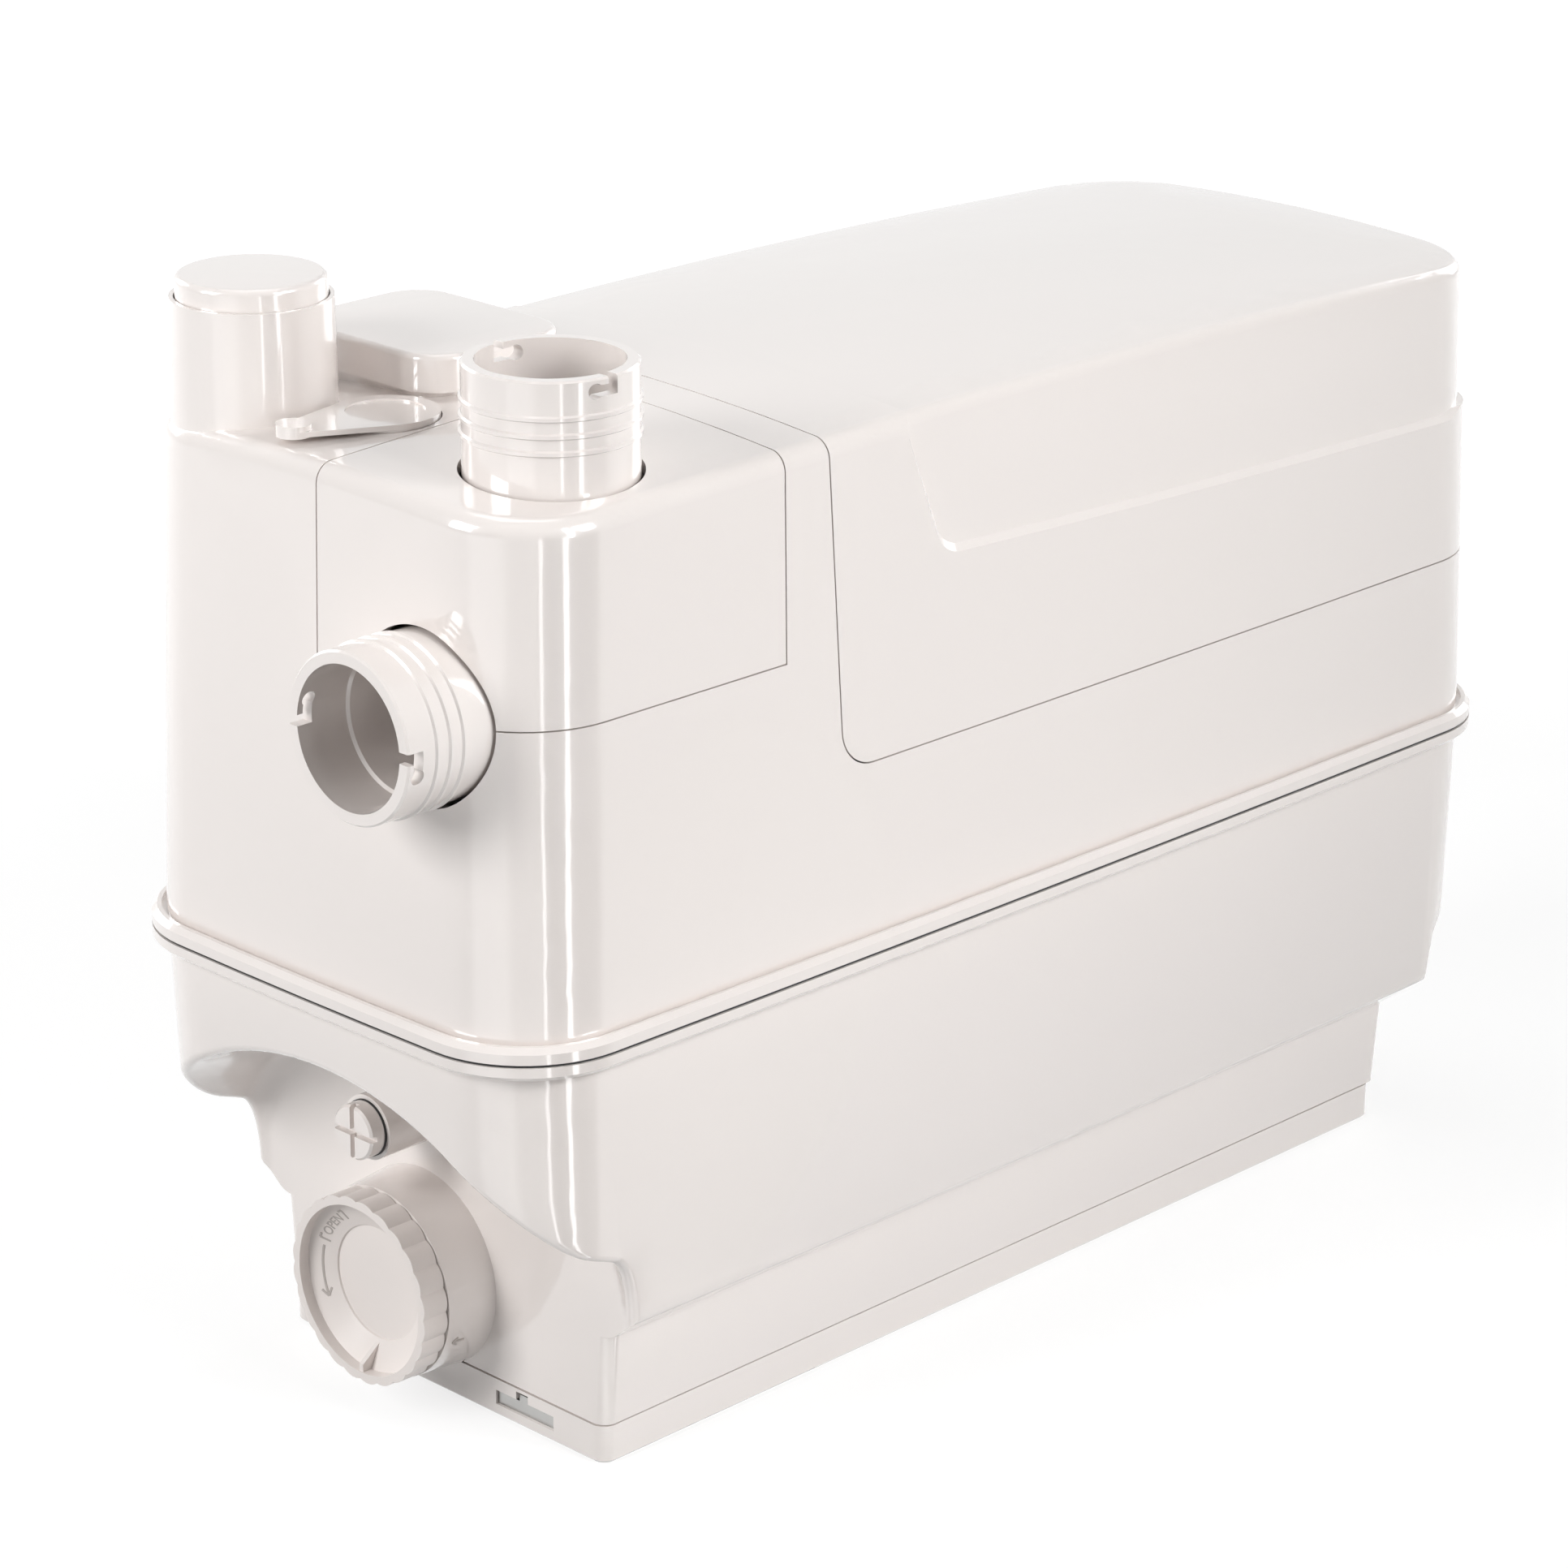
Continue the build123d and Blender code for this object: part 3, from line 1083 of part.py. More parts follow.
# Discharge line: pipe, valve, flap, pin and outlet
with BuildPart() as discharge_pipe:
    with BuildLine() as route:
        FilletPolyline((DUCT_END_X + PIPE_LAP, DUCT_Y, DUCT_Z), (PIPE_LOW_X, DUCT_Y, DUCT_Z),
                       (PIPE_LOW_X, DUCT_Y, PIPE_TURN_Z), (RISER_X, RISER_Y, PIPE_TURN_Z),
                       (RISER_X, RISER_Y, VALVE_LOW), radius=PIPE_BEND)
    with BuildSketch(Plane(origin=(DUCT_END_X + PIPE_LAP, DUCT_Y, DUCT_Z), z_dir=(-1, 0, 0))):
        Circle(PIPE_R)
        Circle(DUCT_R, mode=Mode.SUBTRACT)
    sweep(path=route.wires()[0])
finish(discharge_pipe.part, "discharge_pipe")

with BuildPart() as valve_body:
    add(turned(RISER_X, RISER_Y, [(DUCT_R, VALVE_LOW), (VALVE_R, VALVE_LOW), (VALVE_R, VALVE_TOP),
                                  (OUTLET_R, VALVE_TOP), (OUTLET_R, OUTLET_LOW), (OUTLET_BORE_R, OUTLET_LOW),
                                  (VALVE_ROOM_R, OUTLET_LOW - 3), (VALVE_ROOM_R, VALVE_SEAT),
                                  (DUCT_R, VALVE_SEAT)]))
    add(reach(RISER_X - 30, RISER_X + 30, FLAP_PIN_Y, FLAP_PIN_Z, FLAP_PIN_R + RUN_GAP), mode=Mode.SUBTRACT)
finish(valve_body.part, "valve_body")

with BuildPart() as outlet_pipe:
    add(post(RISER_X, RISER_Y, OUTLET_LOW, OUTLET_TOP, OUTLET_R, OUTLET_BORE_R))
finish(outlet_pipe.part, "outlet_pipe")

with BuildPart() as return_flap:
    add(post(RISER_X, RISER_Y, FLAP_LOW, FLAP_TOP, FLAP_R))
    with BuildSketch(Plane.XY.offset(FLAP_TOP - 0.5)):
        with Locations((RISER_X, (FLAP_PIN_Y + RISER_Y) / 2)):
            Rectangle(8, RISER_Y - FLAP_PIN_Y)
    extrude(amount=2.7)
    add(reach(RISER_X - 40, RISER_X + 40, FLAP_PIN_Y, FLAP_PIN_Z, FLAP_PIN_R), mode=Mode.SUBTRACT)
finish(return_flap.part, "return_flap")

with BuildPart() as flap_pin:
    add(reach(RISER_X - FLAP_PIN_HALF, RISER_X + FLAP_PIN_HALF, FLAP_PIN_Y, FLAP_PIN_Z, FLAP_PIN_R))
finish(flap_pin.part, "flap_pin")

# Level sensing: bell in the tank, switch on the deck and its plunger
with BuildPart() as pressure_bell:
    add(turned(BELL_X, BELL_Y, [(BELL_R - BELL_WALL, BELL_LOW), (BELL_R, BELL_LOW), (BELL_R, BELL_TOP),
                                (BELL_NECK_R, BELL_TOP + 6), (BELL_NECK_R, DECK_TOP),
                                (BELL_NECK_BORE, DECK_TOP), (BELL_NECK_BORE, BELL_TOP),
                                (BELL_R - BELL_WALL, BELL_TOP - 4)]))
finish(pressure_bell.part, "pressure_bell")

with BuildPart() as level_switch:
    with BuildSketch(Plane.XY.offset(DECK_TOP)):
        with Locations((BELL_X, BELL_Y)):
            RectangleRounded(SWITCH_X, SWITCH_Y, 3)
    extrude(amount=SWITCH_TOP - DECK_TOP)
    add(post(BELL_X, BELL_Y, PLUNGER_LOW - 2, SWITCH_TOP + 1, PLUNGER_R + RUN_GAP), mode=Mode.SUBTRACT)
finish(level_switch.part, "level_switch")

with BuildPart() as switch_plunger:
    add(post(BELL_X, BELL_Y, PLUNGER_LOW, PLUNGER_TOP, PLUNGER_R))
    chamfer(switch_plunger.faces().sort_by(Axis.Z)[-1].edges(), 0.6)
finish(switch_plunger.part, "switch_plunger")

# Control box, its board and lid, and the run capacitor
with BuildPart() as control_box:
    with BuildSketch(Plane.XY.offset(DECK_TOP)):
        with Locations(BOX_MID):
            RectangleRounded(BOX_X, BOX_Y, 4)
    extrude(amount=BOX_TOP - DECK_TOP)
    with BuildSketch(Plane.XY.offset(DECK_TOP + BOX_WALL)):
        with Locations(BOX_MID):
            RectangleRounded(BOX_X - 2 * BOX_WALL, BOX_Y - 2 * BOX_WALL, 4 - BOX_WALL)
    extrude(amount=BOX_TOP, mode=Mode.SUBTRACT)
    with BuildSketch(Plane.XY.offset(DECK_TOP + BOX_WALL - 0.5)):
        with Locations(BOX_MID):
            with GridLocations(BOX_X - 14, BOX_Y - 14, 2, 2):
                Circle(3)
    extrude(amount=BOARD_LOW - DECK_TOP - BOX_WALL + 0.5)
finish(control_box.part, "control_box")

with BuildPart() as control_board:
    with BuildSketch(Plane.XY.offset(BOARD_LOW)):
        with Locations(BOX_MID):
            Rectangle(BOX_X - 2 * BOX_WALL - 2, BOX_Y - 2 * BOX_WALL - 2)
    extrude(amount=BOARD_THICK)
    with BuildSketch(Plane.XY.offset(BOARD_LOW + BOARD_THICK)):
        with Locations((BOX_MID[0] - 16, BOX_MID[1] + 12)):
            Rectangle(20, 16)
        with Locations((BOX_MID[0] + 14, BOX_MID[1] + 12)):
            Rectangle(16, 12)
        with Locations((BOX_MID[0], BOX_MID[1] - 16)):
            Rectangle(44, 10)
    extrude(amount=16)
finish(control_board.part, "control_board")

with BuildPart() as control_lid:
    with BuildSketch(Plane.XY.offset(BOX_TOP)):
        with Locations(BOX_MID):
            RectangleRounded(BOX_X, BOX_Y, 4)
    extrude(amount=BOX_LID)
    chamfer(control_lid.faces().sort_by(Axis.Z)[-1].edges(), 1)
finish(control_lid.part, "control_lid")

with BuildPart() as capacitor:
    add(post(CELL_X, CELL_Y, DECK_TOP, CELL_TOP, CELL_R))
    fillet(capacitor.faces().sort_by(Axis.Z)[-1].edges(), 2)
    for side in (-1, 1):
        with BuildSketch(Plane.XY.offset(CELL_TOP)):
            with Locations((CELL_X + side * TERMINAL, CELL_Y)):
                Rectangle(1, TERMINAL)
        extrude(amount=8)
finish(capacitor.part, "capacitor")
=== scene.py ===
"""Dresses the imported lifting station: materials, moulded details, studio and camera."""

import json
import math

import bmesh
import bpy
from mathutils import Matrix, Vector


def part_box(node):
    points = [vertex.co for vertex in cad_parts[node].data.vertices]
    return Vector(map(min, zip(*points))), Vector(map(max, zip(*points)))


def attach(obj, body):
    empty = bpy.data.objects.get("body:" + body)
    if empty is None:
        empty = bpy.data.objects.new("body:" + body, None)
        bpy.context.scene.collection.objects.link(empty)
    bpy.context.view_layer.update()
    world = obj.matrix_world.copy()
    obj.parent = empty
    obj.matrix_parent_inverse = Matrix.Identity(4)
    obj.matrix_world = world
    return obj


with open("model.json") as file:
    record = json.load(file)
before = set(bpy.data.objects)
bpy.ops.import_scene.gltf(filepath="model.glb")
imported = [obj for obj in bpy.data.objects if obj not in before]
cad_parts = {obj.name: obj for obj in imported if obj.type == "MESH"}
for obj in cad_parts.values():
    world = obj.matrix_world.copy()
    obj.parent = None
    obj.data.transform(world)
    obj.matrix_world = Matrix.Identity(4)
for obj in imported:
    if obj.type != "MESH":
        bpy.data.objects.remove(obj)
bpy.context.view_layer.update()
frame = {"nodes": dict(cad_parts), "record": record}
nodes = frame["nodes"]


# Materials

def new_group(name, inputs, outputs):
    """An empty shader node group with named sockets."""
    group = bpy.data.node_groups.new(name, "ShaderNodeTree")
    for label, kind, value in inputs:
        socket = group.interface.new_socket(name=label, in_out="INPUT", socket_type=kind)
        socket.default_value = value
    for label, kind in outputs:
        group.interface.new_socket(name=label, in_out="OUTPUT", socket_type=kind)
    entry = group.nodes.new("NodeGroupInput")
    leave = group.nodes.new("NodeGroupOutput")
    return group, entry, leave


def join(tree, *pairs):
    """Links each pair of sockets."""
    for start, end in pairs:
        tree.links.new(start, end)


def math_node(tree, operation, a, b=None):
    """A math node whose inputs are sockets or numbers."""
    node = tree.nodes.new("ShaderNodeMath")
    node.operation = operation
    for index, value in enumerate((a, b)):
        if value is None:
            continue
        if isinstance(value, (int, float)):
            node.inputs[index].default_value = value
        else:
            tree.links.new(value, node.inputs[index])
    return node.outputs[0]


def noise_node(tree, vector, scale, detail):
    """A noise texture whose scale is a socket or a number."""
    node = tree.nodes.new("ShaderNodeTexNoise")
    node.inputs["Detail"].default_value = detail
    tree.links.new(vector, node.inputs["Vector"])
    if isinstance(scale, (int, float)):
        node.inputs["Scale"].default_value = scale
    else:
        tree.links.new(scale, node.inputs["Scale"])
    return node.outputs[0]


def blend_node(tree, factor, first, second):
    """A blend from one colour towards another."""
    node = tree.nodes.new("ShaderNodeMix")
    node.data_type = "RGBA"
    join(tree, (factor, node.inputs["Factor"]), (first, node.inputs["A"]), (second, node.inputs["B"]))
    return node.outputs["Result"]


SMEAR_SCALE = 60.0
CLOUD_SCALE = 120.0
GRAIN_HEIGHT = 0.5
FINE_DETAIL, PLAIN_DETAIL, RICH_DETAIL = 2.0, 3.0, 5.0
NOISE_MIDDLE = 0.5


def build_moulded_group():
    """Moulded plastic: faint flow mottle, a fine pebble in the surface and uneven gloss."""
    group, entry, leave = new_group(
        "MouldedPlastic",
        [("Colour", "NodeSocketColor", (0.8, 0.8, 0.8, 1)), ("Shade", "NodeSocketColor", (0.7, 0.7, 0.7, 1)),
         ("Mottle", "NodeSocketFloat", 0.3), ("Mottle Scale", "NodeSocketFloat", 14.0),
         ("Grain Scale", "NodeSocketFloat", 900.0), ("Rough", "NodeSocketFloat", 0.25),
         ("Rough Spread", "NodeSocketFloat", 0.08)],
        [("Colour", "NodeSocketColor"), ("Roughness", "NodeSocketFloat"), ("Height", "NodeSocketFloat")])
    place = group.nodes.new("ShaderNodeTexCoord").outputs["Object"]
    flow = noise_node(group, place, entry.outputs["Mottle Scale"], PLAIN_DETAIL)
    grain = noise_node(group, place, entry.outputs["Grain Scale"], FINE_DETAIL)
    smear = noise_node(group, place, SMEAR_SCALE, RICH_DETAIL)
    amount = math_node(group, "MULTIPLY", flow, entry.outputs["Mottle"])
    colour = blend_node(group, amount, entry.outputs["Colour"], entry.outputs["Shade"])
    uneven = math_node(group, "SUBTRACT", smear, NOISE_MIDDLE)
    swing = math_node(group, "MULTIPLY", uneven, entry.outputs["Rough Spread"])
    pebble = math_node(group, "MULTIPLY", grain, GRAIN_HEIGHT)
    join(group, (colour, leave.inputs["Colour"]),
         (math_node(group, "ADD", entry.outputs["Rough"], swing), leave.inputs["Roughness"]),
         (math_node(group, "ADD", pebble, flow), leave.inputs["Height"]))
    return group


def build_metal_group():
    """Worked metal: fine drawn streaks and cloudy oxide."""
    group, entry, leave = new_group(
        "WorkedMetal",
        [("Colour", "NodeSocketColor", (0.6, 0.6, 0.6, 1)), ("Oxide", "NodeSocketColor", (0.3, 0.3, 0.3, 1)),
         ("Oxide Amount", "NodeSocketFloat", 0.3), ("Streak", "NodeSocketVector", (40.0, 40.0, 900.0)),
         ("Rough", "NodeSocketFloat", 0.3), ("Rough Spread", "NodeSocketFloat", 0.2)],
        [("Colour", "NodeSocketColor"), ("Roughness", "NodeSocketFloat"), ("Height", "NodeSocketFloat")])
    place = group.nodes.new("ShaderNodeTexCoord").outputs["Object"]
    stretch = group.nodes.new("ShaderNodeVectorMath")
    stretch.operation = "MULTIPLY"
    join(group, (place, stretch.inputs[0]), (entry.outputs["Streak"], stretch.inputs[1]))
    streak = noise_node(group, stretch.outputs[0], 1.0, PLAIN_DETAIL)
    cloud = noise_node(group, place, CLOUD_SCALE, RICH_DETAIL)
    amount = math_node(group, "MULTIPLY", cloud, entry.outputs["Oxide Amount"])
    colour = blend_node(group, amount, entry.outputs["Colour"], entry.outputs["Oxide"])
    swing = math_node(group, "MULTIPLY", streak, entry.outputs["Rough Spread"])
    join(group, (colour, leave.inputs["Colour"]),
         (math_node(group, "ADD", entry.outputs["Rough"], swing), leave.inputs["Roughness"]),
         (streak, leave.inputs["Height"]))
    return group


MOULDED = build_moulded_group()
METAL = build_metal_group()


def new_material(name):
    """A material with its Principled shader."""
    material = bpy.data.materials.new(name)
    material.use_nodes = True
    return material, material.node_tree, material.node_tree.nodes["Principled BSDF"]


def grouped(name, group, values, bump=0.1, distance=0.0002, metallic=0.0, coat=0.0, coat_rough=0.05,
            coat_ior=1.5):
    """A material fed by one of the surface groups."""
    material, tree, shader = new_material(name)
    surface = tree.nodes.new("ShaderNodeGroup")
    surface.node_tree = group
    for label, value in values.items():
        surface.inputs[label].default_value = value
    shader.inputs["Metallic"].default_value = metallic
    shader.inputs["Coat Weight"].default_value = coat
    shader.inputs["Coat Roughness"].default_value = coat_rough
    shader.inputs["Coat IOR"].default_value = coat_ior
    relief = tree.nodes.new("ShaderNodeBump")
    relief.inputs["Strength"].default_value = bump
    relief.inputs["Distance"].default_value = distance
    join(tree, (surface.outputs["Colour"], shader.inputs["Base Color"]),
         (surface.outputs["Roughness"], shader.inputs["Roughness"]),
         (surface.outputs["Height"], relief.inputs["Height"]),
         (relief.outputs["Normal"], shader.inputs["Normal"]))
    return material


def plastic(name, colour, shade, rough, spread=0.06, mottle=0.3, grain=900.0, **more):
    """Moulded plastic in one colour."""
    return grouped(name, MOULDED, {"Colour": (*colour, 1), "Shade": (*shade, 1), "Rough": rough,
                                   "Rough Spread": spread, "Mottle": mottle, "Grain Scale": grain}, **more)


def metal(name, colour, oxide, rough, streak, **more):
    """Worked metal in one colour."""
    return grouped(name, METAL, {"Colour": (*colour, 1), "Oxide": (*oxide, 1), "Streak": streak,
                                 "Rough": rough}, metallic=1.0, **more)


SHELL_COLOUR = (0.83, 0.775, 0.745)
SHELL_SHADE = (0.80, 0.735, 0.70)
shell = plastic("PalePlastic", SHELL_COLOUR, SHELL_SHADE, 0.24, bump=0.02, distance=0.0001, coat=1.0,
                coat_ior=1.8)
grip = plastic("GripPlastic", SHELL_COLOUR, SHELL_SHADE, 0.4, bump=0.06, distance=0.0001, coat=0.15,
               coat_rough=0.2)
# Painted shade: the raised letters, brackets and arrows are painted darker than the shell, in place of the
# shade along their relief
painted_shade_mark_plastic = plastic("MarkPlasticPaintedShade", (0.5, 0.455, 0.43), (0.44, 0.40, 0.375), 0.45, bump=0.06)
grey_plastic = plastic("GreyPlastic", (0.16, 0.165, 0.175), (0.10, 0.105, 0.115), 0.45, bump=0.15)
black_plastic = plastic("BlackPlastic", (0.02, 0.02, 0.022), (0.035, 0.035, 0.04), 0.42, bump=0.2)
red_plastic = plastic("RedPlastic", (0.45, 0.03, 0.025), (0.3, 0.02, 0.02), 0.35, bump=0.08)
board = plastic("CircuitBoard", (0.02, 0.13, 0.05), (0.012, 0.08, 0.035), 0.3, bump=0.1, grain=400.0)
rubber = plastic("SealRubber", (0.012, 0.012, 0.013), (0.03, 0.03, 0.03), 0.62, spread=0.15, bump=0.3)
carbon = plastic("CarbonFoam", (0.015, 0.015, 0.016), (0.05, 0.05, 0.05), 0.9, mottle=0.8, bump=0.9,
                 distance=0.001, grain=450.0)
steel = metal("BrightSteel", (0.52, 0.52, 0.51), (0.25, 0.24, 0.23), 0.22, (40.0, 900.0, 40.0), bump=0.05)
alloy = metal("CastAlloy", (0.55, 0.55, 0.56), (0.3, 0.3, 0.31), 0.42, (500.0, 500.0, 500.0), bump=0.35,
              distance=0.0004)
copper = metal("Winding", (0.72, 0.31, 0.16), (0.35, 0.12, 0.06), 0.25, (60.0, 60.0, 1400.0), bump=0.4,
               distance=0.0004)

FINISH = {"shell": shell, "grey_plastic": grey_plastic, "black_plastic": black_plastic,
          "red_plastic": red_plastic, "board": board, "carbon": carbon, "rubber": rubber, "steel": steel,
          "cast_alloy": alloy, "copper": copper}
node_slot = {row["node"]: row["material_slot"] for row in frame["record"]["subparts"]}
for name, node in nodes.items():
    node.data.materials.clear()
    node.data.materials.append(FINISH[node_slot[name]])
nodes["low_port_cap"].data.materials[0] = grip

SMOOTH_ANGLE = math.radians(28)
WELD_DISTANCE = 0.00001


def build_smooth_tree():
    """Geometry nodes: smooth shading, with edges kept where two faces meet at a clear angle."""
    tree = bpy.data.node_groups.new("SmoothCurves", "GeometryNodeTree")
    tree.interface.new_socket(name="Geometry", in_out="INPUT", socket_type="NodeSocketGeometry")
    tree.interface.new_socket(name="Geometry", in_out="OUTPUT", socket_type="NodeSocketGeometry")
    entry = tree.nodes.new("NodeGroupInput")
    leave = tree.nodes.new("NodeGroupOutput")
    faces = tree.nodes.new("GeometryNodeSetShadeSmooth")
    edges = tree.nodes.new("GeometryNodeSetShadeSmooth")
    edges.domain = "EDGE"
    angle = tree.nodes.new("GeometryNodeInputMeshEdgeAngle")
    flat = tree.nodes.new("FunctionNodeCompare")
    flat.operation = "LESS_THAN"
    flat.inputs["B"].default_value = SMOOTH_ANGLE
    join(tree, (entry.outputs[0], faces.inputs["Geometry"]), (faces.outputs[0], edges.inputs["Geometry"]),
         (angle.outputs["Unsigned Angle"], flat.inputs["A"]), (flat.outputs[0], edges.inputs["Shade Smooth"]),
         (edges.outputs[0], leave.inputs[0]))
    return tree


SMOOTH_TREE = build_smooth_tree()


def round_off(node):
    """Welds a CAD node's loose triangles in a modifier and shades its curves smooth."""
    weld = node.modifiers.new("Weld", "WELD")
    weld.merge_threshold = WELD_DISTANCE
    smooth = node.modifiers.new("Smooth", "NODES")
    smooth.node_group = SMOOTH_TREE


for node in nodes.values():
    round_off(node)


# Pieces added to the CAD nodes

WORD_STEPS = 4
BAR_STEP = 0.0008
MERGE_DISTANCE = 0.000001


def new_mesh(name, vertices, faces, material=None):
    """A mesh object at the origin."""
    mesh = bpy.data.meshes.new(name)
    mesh.from_pydata([tuple(v) for v in vertices], [], faces)
    made = bpy.data.objects.new(name, mesh)
    bpy.context.scene.collection.objects.link(made)
    if material:
        mesh.materials.append(material)
    return made


def mesh_of(maker):
    """The finished mesh of a text or node-made object, which is then removed."""
    drawn = maker.evaluated_get(bpy.context.evaluated_depsgraph_get())
    mesh = bpy.data.meshes.new_from_object(drawn)
    bpy.data.objects.remove(maker)
    return mesh


def word_mesh(body, size, relief):
    """A word as a raised mesh, centred on its middle."""
    curve = bpy.data.curves.new(body, "FONT")
    curve.body = body
    curve.size = size
    curve.extrude = relief
    curve.resolution_u = WORD_STEPS
    curve.align_x = "CENTER"
    curve.align_y = "CENTER"
    maker = bpy.data.objects.new(body, curve)
    bpy.context.scene.collection.objects.link(maker)
    return mesh_of(maker)


def add_bar(shape, start, end, width, relief):
    """A narrow raised bar between two points, cut into short steps so that it can be bent."""
    start, end = Vector(start), Vector(end)
    across = Vector((start.y - end.y, end.x - start.x)).normalized() * width / 2
    steps = max(1, int((end - start).length / BAR_STEP))
    rings = []
    for i in range(steps + 1):
        middle = start.lerp(end, i / steps)
        corners = (middle - across, middle + across)
        rings.append([shape.verts.new((*corners[0], -relief)), shape.verts.new((*corners[1], -relief)),
                      shape.verts.new((*corners[1], relief)), shape.verts.new((*corners[0], relief))])
    for one, two in zip(rings, rings[1:]):
        for side in range(4):
            after = (side + 1) % 4
            shape.faces.new((one[side], one[after], two[after], two[side]))
    shape.faces.new(rings[0][::-1])
    shape.faces.new(rings[-1])


def finish_piece(name, shape, material, body):
    """Turns a bmesh into a piece that rides on a body."""
    bmesh.ops.remove_doubles(shape, verts=shape.verts, dist=MERGE_DISTANCE)
    bmesh.ops.recalc_face_normals(shape, faces=shape.faces)
    made = new_mesh(name, [], [], material)
    shape.to_mesh(made.data)
    shape.free()
    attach(made, body)


PORT_Y, PORT_Z = 0.0065, 0.0338
RING_IN, RING_OUT = 0.0155, 0.0228
RING_DEEP_X, RING_SHALLOW_X = -0.1645, -0.168
WORD_R = 0.0191
WORD_TURN = math.radians(50)
WORD_SIZE = 0.0034
MARK_RELIEF = 0.00014
MARK_WIDTH = 0.0005
BRACKET_OUT, BRACKET_IN = 0.0062, 0.0049
BRACKET_LOW, BRACKET_HIGH = -0.0013, 0.0014
ARROW_TAIL, ARROW_TIP, ARROW_BARB = -0.0082, -0.0225, -0.0205
BARB_HALF = 0.0013
CAP_BARS = (((BRACKET_OUT, BRACKET_LOW), (BRACKET_OUT, BRACKET_HIGH)),
            ((BRACKET_OUT, BRACKET_HIGH), (BRACKET_IN, BRACKET_HIGH)),
            ((-BRACKET_OUT, BRACKET_LOW), (-BRACKET_OUT, BRACKET_HIGH)),
            ((-BRACKET_OUT, BRACKET_HIGH), (-BRACKET_IN, BRACKET_HIGH)),
            ((ARROW_TAIL, 0.0), (ARROW_TIP, 0.0)),
            ((ARROW_TIP, 0.0), (ARROW_BARB, BARB_HALF)),
            ((ARROW_TIP, 0.0), (ARROW_BARB, -BARB_HALF)))


def bend_to_cap(point):
    """Lays a flat point (along, up, out) on the cap's dished ring."""
    radius = WORD_R + point.y
    turn = WORD_TURN - point.x / WORD_R
    slope = (radius - RING_IN) / (RING_OUT - RING_IN)
    x = RING_DEEP_X + slope * (RING_SHALLOW_X - RING_DEEP_X) - point.z
    return Vector((x, PORT_Y + radius * math.sin(turn), PORT_Z + radius * math.cos(turn)))


mark = bmesh.new()
mark.from_mesh(word_mesh("OPEN", WORD_SIZE, MARK_RELIEF))
for start, end in CAP_BARS:
    add_bar(mark, start, end, MARK_WIDTH, MARK_RELIEF)
for vertex in mark.verts:
    vertex.co = bend_to_cap(vertex.co)
finish_piece("cap_open_mark", mark, painted_shade_mark_plastic, "cap")

STUB_TIP_X, STUB_TIP_R = -0.163, 0.0256
STUB_FLARE = 0.089
POINTER_TURN = math.radians(-112)
POINTER_TIP, POINTER_BARB, POINTER_TAIL = -0.1606, -0.1592, -0.1572
POINTER_HALF = 0.0012
POINTER_WIDTH = 0.0006
POINTER_RELIEF = 0.0002
pointer = bmesh.new()
for end in ((POINTER_TAIL, 0.0), (POINTER_BARB, POINTER_HALF), (POINTER_BARB, -POINTER_HALF)):
    add_bar(pointer, (POINTER_TIP, 0.0), end, POINTER_WIDTH, POINTER_RELIEF)
for vertex in pointer.verts:
    radius = STUB_TIP_R + (vertex.co.x - STUB_TIP_X) * STUB_FLARE + vertex.co.z
    turn = POINTER_TURN + vertex.co.y / STUB_TIP_R
    vertex.co = (vertex.co.x, PORT_Y + radius * math.sin(turn), PORT_Z + radius * math.cos(turn))
finish_piece("port_index_mark", pointer, painted_shade_mark_plastic, "base")

RIB_ROUND = 0.4
RIB_ROUND_STEPS = 3


